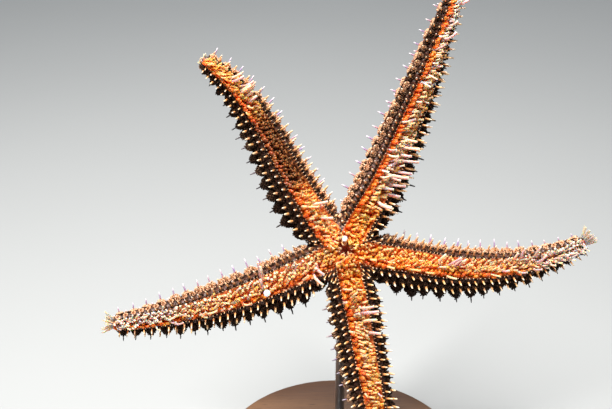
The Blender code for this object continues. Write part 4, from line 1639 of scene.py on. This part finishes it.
@dataclass
class TubeFeet:
    """The tube feet of one arm, in four crowded rows along its groove.

    Where they lean across the arm, the row that they lean away from stands as a low wall of short,
    thick feet, painted deep red-orange as shade, but for a few loose ones. rows are where the rows stand in
    the section. A sucker's rings are at heights and have widths, both in shares of its radius.
    """

    arm: Arm
    body: Body
    number: int
    rows: tuple[float, ...] = (-0.31, -0.11, 0.11, 0.31)
    spacing: float = 1.35 * MM
    first: float = 5.4 * MM
    bare_tip: float = 2.0 * MM
    length: float = 7.4 * MM
    reach: float = 15 * MM
    radius: float = 0.70 * MM
    sunk: float = 0.8 * MM
    sucker: float = 0.82 * MM
    heights: tuple[float, ...] = (0.14, 0.38, 0.60, 0.64, 0.44)
    widths: tuple[float, ...] = (0.80, 1.0, 0.88, 0.48, 0.0)
    reaching_share: float = 0.26
    loose_share: float = 0.10
    outer_length: float = 0.72
    wall_shorter: float = 0.38
    brown_shorter: float = 0.30
    grown_over: float = 20 * MM
    least_scale: float = 0.68
    sways: tuple[float, float] = (14 * MM, 34 * MM)
    mouthward_over: float = 5 * MM
    stalk_rings: int = 7
    sides: int = 8

    @property
    def bend(self) -> Array:
        """How far each ring of a stalk has bent from its root's direction to its sucker's."""
        return smoothstep(np.linspace(0, 0.85, self.stalk_rings))

    def roots(self, draw: Draw) -> list[Array]:
        """Where the feet stand.

        Args:
            draw: where their differences come from.

        Returns:
            Their (feet, 3) roots, and for each foot how far along the arm it is, which row it is in, and
            the arm's half width.
        """
        arm = self.arm
        rows = []
        for number, across in enumerate(self.rows):
            along = np.arange(self.first, arm.length - self.bare_tip, self.spacing)
            along = along + (number % 2) * self.spacing / 2
            along = along + draw.uniform(-0.12, 0.12, len(along)) * self.spacing
            place, side, up, _ = arm.frames(along)
            width = arm.half_width(along)
            blown = side @ unit(np.array([*arm.drift, 0.0]))
            aside = (across + draw.uniform(-0.08, 0.08, len(along)) - arm.windward * blown) * width
            spot = place + side * aside[:, None] + up * (GROOVE_FLOOR[1] * width)[:, None]
            root = self.body.roots(spot, up)
            kept = np.hypot(root[:, 0], root[:, 1]) >= MOUTH_RADIUS
            every = (root, along, np.full(len(along), across), width)
            rows.append([each[kept] for each in every])
        return [np.concatenate(parts) for parts in zip(*rows)]

    def solid(
        self, line: tuple[Array, Array], thick: Array, sucker: Array, values: Values, roots: Array
    ) -> Shape:
        """Feet with ringed stalks and cupped suckers.

        Args:
            line: the places and directions of their stalks' rings.
            thick: the radii of their stalks.
            sucker: the radii of their suckers.
            values: tone, stretched and brown, one number a foot.
            roots: their places on the map for the bake.

        Returns:
            All of them as one shape.
        """
        stalk, turning = line
        end = turning[:, -1:]
        cup = stalk[:, -1:] + end * (np.array(self.heights) * sucker[:, None])[..., None]
        foot = stalk[:, :1] - turning[:, :1] * self.sunk
        taper = 1.10 - 0.28 * np.linspace(0, 1, self.stalk_rings)
        rings = 1 + 0.07 * (-1.0) ** np.arange(self.stalk_rings)
        thick = thick[:, None]
        radii = [thick * 0, thick * (taper * rings), sucker[:, None] * self.widths]
        tip = np.array([0, *np.linspace(0, 0.80, self.stalk_rings), 0.87, 0.94, 1, 1, 1])
        return tubes(
            np.concatenate([foot, stalk, cup], 1),
            np.concatenate([turning[:, :1], turning, np.repeat(end, len(self.heights), 1)], 1),
            np.concatenate(radii, 1),
            self.sides,
            {"tip": tip} | {key: numbers[:, None] for key, numbers in values.items()},
            roots,
        )

    def build(self, finish: Material) -> None:
        """Makes the arm's tube feet.

        Args:
            finish: their material.
        """
        arm = self.arm
        draw = np.random.default_rng((SEED, self.number, 100))
        root, along, across, width = self.roots(draw)
        count = len(root)
        _, side, up, ahead = arm.frames(along)
        scale = self.least_scale + (1 - self.least_scale) * width / HALF_WIDTH
        share = along / arm.length
        splay = (across * (1 + 1.4 * smoothstep((share - 0.6) / 0.3)))[:, None]
        drift = np.array([*arm.drift, 0.0])
        blown = side @ unit(drift)
        leaning_out = blown * np.sign(across)
        outer = leaning_out > 0
        chance = draw.uniform(0, 1, (3, count))
        way = np.tile(drift, (count, 1))
        reaching = np.zeros(count, bool)
        for near, far, right, rise in arm.reaches:
            aim = np.array([right, rise, 0.0])
            here = (share > near) & (share < far) & ((side @ aim) * across > 0)
            here &= chance[0] < self.reaching_share
            reaching |= here
            way[here] = aim
        # brown is partly the feet's own brown and partly painted shade where the arm bends away.
        brown = arm.browned_with_painted_shade(share)
        # lit paints light: feet on the groove's light side get higher tone and stretch, so paler and more
        # amber colour; those on its far side redder.
        lit = (side @ LIGHT_SIDE) * across / max(self.rows)
        loose = (chance[1] < self.loose_share * (1 - brown)) & ~reaching
        wall = (leaning_out < -0.35) & (np.abs(across) > 0.2) & ~reaching & ~loose
        way[loose] = drift * (1 - arm.stray) + ahead[loose] * arm.stray
        stretched = np.interp(share, *arm.bloom) + draw.normal(0, 0.13, count) + 0.4 * loose + 0.15 * lit
        stretched = np.clip(np.where(reaching, 1.05 + 0.25 * chance[2], stretched), 0, 1.5)
        stretched = np.where(wall, 0.0, stretched)
        grown = smoothstep((along - self.first) / self.grown_over)
        length = self.length * scale * draw.uniform(0.80, 1.14, count) * np.where(outer, self.outer_length, 1)
        length *= (0.68 + 0.32 * grown) * (1 + 0.35 * loose) * (1 - self.brown_shorter * brown)
        length = np.where(reaching, self.reach * scale * draw.uniform(0.7, 1.1, count), length)
        length *= 1 - self.wall_shorter * wall
        swayed = ripples(root, *self.sways, SEED + 10 + self.number)
        lean = np.where(outer, 0.60, 1.15) * (1 + 0.3 * swayed)
        lean = np.where(loose, draw.uniform(0.3, 1.8, count) + arm.stray, lean)
        lean = np.where(reaching, 1.7, lean)
        parting = 1 - np.abs(blown)
        spread = np.where(loose, 0.28, np.where(reaching, 0.10, 0.14 + 0.10 * parting))[:, None]
        inner = 1 - smoothstep((along - self.first) / self.mouthward_over)
        start = unit(up + side * (splay * 0.6) + draw.normal(0, 0.13, (count, 3)))
        end = unit(
            up * np.where(reaching, 0.30, 0.36)[:, None]
            + way * lean[:, None]
            + side * splay * 0.3
            + ahead * (0.42 * swayed - 1.2 * inner)[:, None]
            + draw.normal(0, 1, (count, 3)) * spread
        )
        thick = 1 - 0.1 * stretched + 0.4 * reaching + 0.4 * wall
        tone = draw.uniform(0, 1, count)
        # Painted shade: wall feet get negative tone, which paints them in the shade colour; the others' tone
        # is raised by lit as painted light.
        tone = np.where(wall, -0.45 - 0.35 * tone, tone + 0.35 * lit)
        shape = self.solid(
            bending(root, start, end, length, self.bend),
            self.radius * scale * draw.uniform(0.88, 1.12, count) * thick,
            self.sucker * scale * draw.uniform(0.85, 1.15, count),
            {"tone": tone, "stretched": stretched, "brown": brown * (1 - 0.2 * wall)},
            arm.on_map(along, 0.5 + across / (2 * GROOVE_LIP[0])),
        )
        shape.show(f"tube_feet_{arm.name}", finish, Slot.SKIN)


@dataclass
class SkinGills:
    """The soft finger-like gills between the spines of one arm's sides and back, in clumps."""

    arm: Arm
    body: Body
    number: int
    count: int = 1000
    clumps: tuple[float, float] = (4 * MM, 9 * MM)
    from_middle: float = 15 * MM

    def build(self, finish: Material) -> None:
        """Makes the arm's gills.

        Args:
            finish: their material.
        """
        body = self.body
        draw = np.random.default_rng((SEED, self.number, 200))
        open_skin = (body.around > 0.36) & (ripples(body.points, *self.clumps, SEED + 1) > -0.1)
        open_skin &= (body.along > self.from_middle) | (body.points[:, 2] < 0)
        chosen, out, roots = body.open_places(self.number, open_skin, self.count, 0.2, draw)
        size = draw.uniform(0.6, 1.2, self.count)
        values = {"tone": draw.uniform(0, 1, (self.count, 1))}
        shape = GILL.crowd(body.points[chosen], out, size, values, roots)
        shape.show(f"gills_{self.arm.name}", finish, Slot.SKIN)


@dataclass
class ArmTips:
    """What each arm ends in: a fan of thin feelers and a red eye spot.

    widths are the radii of a feeler's rings, as shares of its radius.
    """

    feelers: int = 15
    length: float = 8.8 * MM
    radius: float = 0.36 * MM
    widths: tuple[float, ...] = (0, 1.5, 1.25, 1.1, 1.0, 0.95, 0.9, 0.85, 0.7, 0)
    lift: float = 0.45
    from_tip: float = 2.5 * MM
    root_spread: float = 2.0 * MM
    eye_radius: float = 0.85 * MM
    eye_from_tip: float = 1.6 * MM

    def fan(self, arm: Arm, number: int) -> Shape:
        """The feelers of one arm.

        Args:
            arm: which arm.
            number: its number.

        Returns:
            All of them as one shape.
        """
        draw = np.random.default_rng((SEED, number, 300))
        place, side, up, ahead = arm.frames(np.array([arm.length - self.from_tip]))
        spread = np.linspace(-0.85, 0.85, self.feelers)
        rise = 0.55 * np.cos(spread * 1.6) * draw.uniform(0.4, 1.0, self.feelers)
        sky = np.array([0, self.lift, 0])
        start = unit(ahead + side * spread[:, None] + up * (0.2 + rise)[:, None] + sky)
        end = unit(start + 0.5 * sky + draw.normal(0, 0.09, (self.feelers, 3)))
        length = self.length * arm.feelers * draw.uniform(0.80, 1.04, self.feelers)
        base = place + side * (spread * self.root_spread)[:, None]
        rings = len(self.widths)
        values = {
            "tip": np.linspace(0, 0.8, rings),
            "tone": draw.uniform(0.3, 1, (self.feelers, 1)),
            "stretched": draw.uniform(0.9, 1.25, (self.feelers, 1)),
            "brown": np.zeros(1),
        }
        roots = arm.on_map(np.full(self.feelers, arm.length * 0.97), 0.3 + 0.4 * (spread + 0.6))
        lines = bending(base, start, end, length, np.linspace(0, 1, rings))
        return tubes(*lines, np.array(self.widths) * self.radius, 8, values, roots)

    def eye(self, arm: Arm) -> Shape:
        """The eye spot of one arm.

        Args:
            arm: which arm.

        Returns:
            A small ball.
        """
        along = np.array([arm.length - self.eye_from_tip])
        place, _, up, ahead = arm.frames(along)
        centre = place + up * 0.35 * arm.half_width(along)[:, None]
        return ball(centre, unit(ahead * 0.5 + up), self.eye_radius, self.eye_radius, 9, 14)

    def build(self, feet: Material, eyes: EyeFinish) -> None:
        """Makes the feelers and the eye spots.

        Args:
            feet: the tube feet's material.
            eyes: the eye spots' finish.
        """
        fans = [self.fan(arm, number) for number, arm in enumerate(ARMS)]
        joined(fans).show("tip_feelers", feet, Slot.SKIN)
        joined([self.eye(arm) for arm in ARMS]).show("eye_spots", eyes.make(), Slot.SKIN)


def polar(radii: Array, heights: Array) -> Shape:
    """A closed lid from rings of points.

    Args:
        radii: (rings, sides) or (rings, 1) how far out they lie, from the rim in.
        heights: (rings, sides) how high they lie.

    Returns:
        The lid, with its underside closed at the lowest ring.
    """
    count, sides = heights.shape
    turn = np.arange(sides) * TAU / sides
    points = np.stack([radii * np.cos(turn), radii * np.sin(turn), heights], 2).reshape(-1, 3)
    middles = np.array([[0.0, 0.0, heights[0].min()], [0.0, 0.0, heights[-1].mean()]])
    faces = faces_round(count, sides, 0, (len(points), len(points) + 1))
    return Shape(np.concatenate([points, middles]), *faces)


@dataclass
class Mouth:
    """The soft, folded ring round the mouth, the spines that guard it, and the few lifted tube feet.

    guard_places and notch_places say for each spine of a corner how far aside it stands, how many
    millimetres from the middle, and how far it leans in. bright says for each lifted foot where its
    sucker is, and the sucker's radius.
    """

    body: Body
    sides: int = 90
    folds: int = 15
    guard_places: tuple[Triple, ...] = (
        (-0.26, 5.8, 1.3), (0.0, 5.4, 1.8), (0.26, 5.8, 1.3), (-0.16, 7.0, 0.9), (0.16, 7.2, 0.8),
        (0.0, 8.4, 0.4), (-0.18, 9.8, 0.0), (0.18, 10.4, -0.1),
    )
    notch_places: tuple[Triple, ...] = (
        (0.04, 11.4, -0.3), (-0.34, 12.6, -0.4), (0.36, 12.9, -0.4), (0.0, 13.6, -0.5), (-0.62, 14.4, -0.5),
        (0.58, 14.7, -0.5), (-0.24, 15.2, -0.7), (0.26, 15.6, -0.8), (-0.5, 16.8, -0.9), (0.05, 17.2, -1.1),
        (0.52, 17.3, -0.9),
    )
    corner_width: float = 6.6
    guard_length: float = 4.4 * MM
    guard_radius: float = 0.50 * MM
    notch_length: float = 3.4 * MM
    notch_radius: float = 0.36 * MM
    bright: tuple[tuple[float, float, float, float], ...] = (
        (-0.55 * MM, 6.0 * MM, 12.0 * MM, 1.65 * MM), (-42.3 * MM, -23.3 * MM, 12.0 * MM, 2.0 * MM),
    )
    bright_radius: float = 0.62 * MM

    def membrane(self) -> Shape:
        """The folded ring."""
        share = np.array([1.0, 1.0, 0.99, 0.94, 0.86, 0.76, 0.66, 0.56, 0.46, 0.37, 0.29, 0.22, 0.15, 0.08])
        lift = np.array([0.0, 0.4, 0.62, 0.80, 0.92, 0.99, 1.0, 0.97, 0.90, 0.80, 0.62, 0.42, 0.30, 0.25])
        turn = np.arange(self.sides) * TAU / self.sides
        fold = 0.5 + 0.5 * np.cos(turn * self.folds + 0.6 * np.sin(turn * 2 + 1))
        deep = band(share, 0.2, 0.9, 0.15)[:, None]
        radii = MOUTH_RADIUS * (share[:, None] - 0.03 * deep * (1 - fold))
        heights = MOUTH_FLOOR + MOUTH_THICK * (lift[:, None] - 0.20 * deep * (1 - fold))
        shape = polar(radii, heights)
        # Painted shade: the ring is painted dark towards the mouth's opening.
        dark = np.broadcast_to(smoothstep((0.36 - share) / 0.14)[:, None], heights.shape)
        shape.values = {
            "fold": np.append(fold * deep + 0.5 * (1 - deep), [0.5, 0.5]),
            "opening": np.append(dark, [0.0, 1.0]),
        }
        return shape

    def corner_spines(
        self, corner_places: tuple[Triple, ...], length: float, radius: float, seed: int
    ) -> Shape:
        """Spines at the five corners between the grooves.

        Args:
            corner_places: for each, how far aside and away from the middle, and how far it leans in.
            length: about how long they are.
            radius: the radius at their feet.
            seed: which draws their differences come from.

        Returns:
            All of them as one shape.
        """
        draw = np.random.default_rng((SEED, seed))
        headings = sorted(arm.heading % 360 for arm in ARMS)
        aims = []
        outs = []
        for near, far in zip(headings, headings[1:] + [headings[0] + 360]):
            middle = math.radians((near + far) / 2)
            for aside, away, inward in corner_places:
                turn = middle + aside * self.corner_width / away
                flat = np.array([math.cos(turn), math.sin(turn), 0.0])
                aims.append(flat * away * MM + UP * 5 * MM)
                outs.append(unit(UP - flat * inward + draw.normal(0, 0.08, 3)))
        roots = self.body.roots(aims, [UP] * len(aims))
        seen = ~np.isnan(roots[:, 0])
        roots = roots[seen]
        share = np.array([-0.25, -0.2, 0.0, 0.4, 0.75, 0.92, 0.985, 1.0])
        width = np.array([0, 1.0, 1.0, 0.9, 0.75, 0.62, 0.4, 0])
        heights = share * (length * draw.uniform(0.75, 1.1, (len(roots), 1)))
        values = {
            "tip": np.clip(share, 0, 1),
            "tone": draw.uniform(0.6, 1, (len(roots), 1)),
            "violet": np.zeros(1),
            "dusk": np.zeros(1),
        }
        lines = straight(roots, np.array(outs)[seen], heights)
        return tubes(*lines, width * radius, 8, values, 0.5 + roots[:, :2] / DISC_ON_MAP)

    def lifted(self) -> Shape:
        """The few tube feet that turn a wide pale sucker to the front."""
        table = np.array(self.bright)
        count = len(table)
        aims = table[:, :3] * [1, 1, 0] + [-0.3 * MM, 0.4 * MM, 5 * MM]
        root = self.body.roots(aims, [UP] * count)
        way = table[:, :3] - root
        length = np.linalg.norm(way, axis=1) * 1.02
        feet = TubeFeet(ARMS[0], self.body, 0)
        line = bending(root, unit(way), np.tile(UP, (count, 1)), length, feet.bend)
        values = {"tone": np.ones(count), "stretched": np.full(count, 2.0), "brown": np.zeros(count)}
        places = 0.5 + root[:, :2] / (8 * DISC_ON_MAP)
        return feet.solid(line, np.full(count, self.bright_radius), table[:, 3], values, places)

    def build(self, membrane: MembraneFinish, spines: Material, feet: Material) -> None:
        """Makes the ring, the guard spines and the lifted feet.

        Args:
            membrane: the ring's finish.
            spines: the spines' material.
            feet: the tube feet's material.
        """
        ring = self.membrane().show("mouth_ring", membrane.make(), Slot.MOUTH)
        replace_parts(ring, "mouth")
        guards = self.corner_spines(self.guard_places, self.guard_length, self.guard_radius, 400)
        notches = self.corner_spines(self.notch_places, self.notch_length, self.notch_radius, 401)
        joined([guards, notches]).show("mouth_spines", spines, Slot.SKIN)
        self.lifted().show("lifted_feet", feet, Slot.SKIN)


@dataclass
class SievePlate:
    """The sieve plate on the disc's back, a button with branching furrows."""

    sides: int = 120
    furrows: int = 24
    furrow_depth: float = 0.28 * MM

    def place(self) -> Matrix:
        """Where it lies, facing out."""
        turn = math.radians(SIEVE_DIRECTION_DEG)
        x = SIEVE_FROM_MIDDLE * math.cos(turn)
        y = SIEVE_FROM_MIDDLE * math.sin(turn)
        z = -DOME_DEPTH * math.sqrt(1 - (SIEVE_FROM_MIDDLE / DOME_RADIUS) ** 2)
        out = Vector((x / DOME_RADIUS**2, y / DOME_RADIUS**2, z / DOME_DEPTH**2)).normalized()
        return Matrix.Translation((x, y, z)) @ out.to_track_quat("Z", "Y").to_matrix().to_4x4()

    def build(self, finish: SieveFinish) -> None:
        """Makes the plate.

        Args:
            finish: its finish.
        """
        share = np.concatenate([[1.0], np.linspace(1.0, 0.06, 18)])
        turn = np.arange(self.sides) * TAU / self.sides
        bent = turn + 0.5 * share[:, None] * np.sin(3 * turn + 0.7)
        fine = 0.5 + 0.5 * np.cos(self.furrows * bent)
        coarse = 0.5 + 0.5 * np.cos(self.furrows / 2 * bent)
        ridge = np.where(share[:, None] > 0.55, fine, coarse) * smoothstep((share[:, None] - 0.04) / 0.2)
        top = SIEVE_PROUD * (0.25 + 0.75 * np.sqrt(np.clip(1 - share**2, 0, 1)))
        heights = top[:, None] - self.furrow_depth * (1 - ridge) * smoothstep(share[:, None] * 3)
        heights[0] = -SIEVE_SUNK
        shape = polar(SIEVE_RADIUS * share[:, None], heights)
        shape.values = {"ridge": np.append(ridge, [0.0, 0.5])}
        piece = shape.show("sieve_plate", finish.make(), Slot.SIEVE, STAR_POSE @ self.place())
        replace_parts(piece, "madreporite")


def rod_line() -> list[Vector]:
    """The rod's middle line: up from the base, round one bend, and into the disc's back."""
    inward = STAR_POSE.to_3x3() @ Vector((0, 0, 1))
    tip = STAR_POSE @ Vector((0, 0, -DOME_DEPTH + ROD_SUNK))
    bend_end = tip - inward * (ROD_SUNK + ROD_STRAIGHT)
    turn = math.acos(inward.z)
    up = Vector((0, 0, 1))
    towards = (inward - up * inward.z).normalized()
    bend_start = bend_end - towards * ROD_BEND * (1 - math.cos(turn)) - up * ROD_BEND * math.sin(turn)
    foot = Vector((bend_start.x, bend_start.y, BASE_THICK / 2))
    steps = 24
    bend = [
        bend_start + towards * ROD_BEND * (1 - math.cos(turn * i / steps))
        + up * ROD_BEND * math.sin(turn * i / steps)
        for i in range(1, steps + 1)
    ]
    return [foot, bend_start, *bend, tip]


@dataclass
class Stand:
    """The turned walnut base, and the bent steel rod with its collar.

    The base's edge is rounded by foot_edge below and by edge above, and has a bead's groove round it.
    """

    base_sides: int = 160
    rod_sides: int = 40
    collar_sides: int = 64
    foot_edge: float = 1.2 * MM
    groove: float = 0.45 * MM
    groove_heights: tuple[float, ...] = (4.6 * MM, 4.9 * MM, 5.5 * MM, 5.8 * MM)
    edge: float = 2.2 * MM
    collar_radius: float = 6.5 * MM
    collar_height: float = 2.2 * MM
    collar_sunk: float = 0.8 * MM

    def turned(self, outline: list[tuple[float, float]], place: Array, sides: int) -> Shape:
        """A body turned on a lathe, from the radius and height of each of its rings."""
        radii, heights = np.array(outline).T
        return tubes(*straight(place[None], UP[None], heights), radii, sides)

    def base(self) -> Shape:
        """The base."""
        low, high = self.foot_edge, self.edge
        outline = [(0, 0), (BASE_RADIUS * 0.5, 0), (BASE_RADIUS - low, 0)]
        for turn in np.linspace(0.2, math.pi / 2, 4):
            outline.append((BASE_RADIUS - low * (1 - math.sin(turn)), low * (1 - math.cos(turn))))
        for depth, height in zip((0, self.groove, self.groove, 0), self.groove_heights):
            outline.append((BASE_RADIUS - depth, height))
        for turn in np.linspace(0, math.pi / 2, 8):
            inwards, down = high * (1 - math.cos(turn)), high * (1 - math.sin(turn))
            outline.append((BASE_RADIUS - inwards, BASE_THICK - down))
        outline += [(BASE_RADIUS * share, BASE_THICK) for share in (0.85, 0.6, 0.35, 0)]
        return self.turned(outline, np.zeros(3), self.base_sides)

    def rod(self) -> Shape:
        """The rod."""
        foot, *line = rod_line()
        places = np.array([foot, foot + Vector((0, 0, 0.2 * MM)), *line])
        along = np.gradient(places, axis=0)
        places = np.append(places, places[-1:], 0)
        along = np.append(along, along[-1:], 0)
        return tubes(places[None], along[None], np.array([ROD_RADIUS]), self.rod_sides)

    def collar(self) -> Shape:
        """The turned ring round the rod's foot."""
        r, h = self.collar_radius, self.collar_height
        foot = rod_line()[0]
        outline = [
            (0, -self.collar_sunk), (r * 0.95, -self.collar_sunk), (r, 0.0), (r, h * 0.35),
            (r * 0.96, h * 0.55), (r * 0.80, h * 0.62), (r * 0.66, h * 0.75), (r * 0.60, h * 0.95),
            (r * 0.56, h), (ROD_RADIUS * 1.05, h), (0, h),
        ]
        return self.turned(outline, np.array([foot.x, foot.y, BASE_THICK]), self.collar_sides)

    def build(self, wood: WoodFinish, steel: SteelFinish) -> None:
        """Makes the base, and the rod with its collar.

        Args:
            wood: the base's finish.
            steel: the rod's finish.
        """
        standing = Matrix.Identity(4)
        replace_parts(self.base().show("walnut_base", wood.make(), Slot.WOOD, standing), "stand_base")
        metal = joined([self.rod(), self.collar()])
        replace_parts(metal.show("steel_rod", steel.make(), Slot.METAL, standing), "stand_rod")


@dataclass(frozen=True)
class Lamp:
    """A square soft light: its side in metres, its power in watts, and what it faces."""

    name: str
    place: Triple
    size: float
    power: float
    colour: Colour
    target: tuple[float, ...] = tuple(STAR_POSE.translation)

    def hang(self) -> None:
        """Puts it in the scene."""
        data = bpy.data.lights.new(self.name, "AREA")
        data.energy = self.power
        data.size = self.size
        data.color = self.colour
        light = placed(self.name, data)
        light.location = self.place
        towards = Vector(self.target) - Vector(self.place)
        light.rotation_euler = towards.to_track_quat("-Z", "Y").to_euler()


@dataclass
class Studio:
    """The camera that frames the star as the photograph does, soft light from above and a pale floor."""

    eye: Triple = (-21.45 * MM, 24.5 * MM, 560 * MM)
    lens: float = 59.9
    sensor: float = 36.0
    lamps: tuple[Lamp, ...] = (
        Lamp("key", (-0.18, -0.20, 1.12), 0.36, 24.0, (1.0, 0.97, 0.92)),
        Lamp("fill", (0.9, -0.9, 0.35), 0.9, 0.5, (0.86, 0.93, 1.0)),
        Lamp("back", (0.0, 1.3, 1.7), 2.0, 16.0, (0.95, 0.98, 1.0), (0.0, 1.3, 0.0)),
    )
    sky: float = 0.12
    sky_colour: Colour = (0.86, 0.90, 0.94)
    floor_size: float = 8.0

    def add_camera(self) -> None:
        """Sets the camera square to the star's mouth side."""
        turned = STAR_POSE.to_3x3()
        data = bpy.data.cameras.new("camera")
        data.lens = self.lens
        data.sensor_width = self.sensor
        data.clip_start = 0.01
        camera = placed("camera", data)
        place = STAR_POSE.translation + turned @ Vector(self.eye)
        camera.matrix_world = Matrix.Translation(place) @ turned.to_4x4()
        bpy.context.scene.camera = camera

    def build(self, floor: FloorFinish) -> None:
        """Sets up the camera, the lights and the floor.

        Args:
            floor: the floor's finish.
        """
        scene = bpy.context.scene
        self.add_camera()
        for lamp in self.lamps:
            lamp.hang()
        world = bpy.data.worlds.new("studio")
        world.use_nodes = True
        background = world.node_tree.nodes["Background"]
        background.inputs["Color"].default_value = (*self.sky_colour, 1.0)
        background.inputs["Strength"].default_value = self.sky
        scene.world = world
        scene.view_settings.view_transform = "Standard"
        half = self.floor_size / 2
        mesh = bpy.data.meshes.new("floor")
        corners = [(-half, -half, 0), (half, -half, 0), (half, half, 0), (-half, half, 0)]
        mesh.from_pydata(corners, [], [(0, 1, 2, 3)])
        mesh.materials.append(floor.make())
        placed("floor", mesh)


def main() -> None:
    """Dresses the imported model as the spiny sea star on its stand."""
    logging.basicConfig(level=logging.INFO, format="%(name)s: %(message)s")
    body = Body()
    skin = body.build(SkinFinish())
    flesh = [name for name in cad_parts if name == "disc" or name.startswith("arm_")]
    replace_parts(skin, *sorted(flesh))
    feet = FootFinish().make()
    spines = SpineFinish().make()
    wreaths = WreathFinish().make()
    gills = GillFinish().make()
    for number, arm in enumerate(ARMS):
        TubeFeet(arm, body, number).build(feet)
        Spines(arm, body, number).build(spines, wreaths)
        SkinGills(arm, body, number).build(gills)
    ArmTips().build(feet, EyeFinish())
    Mouth(body).build(MembraneFinish(), spines, feet)
    SievePlate().build(SieveFinish())
    Stand().build(WoodFinish(), SteelFinish())
    Studio().build(FloorFinish())


if __name__ == "__main__":
    main()
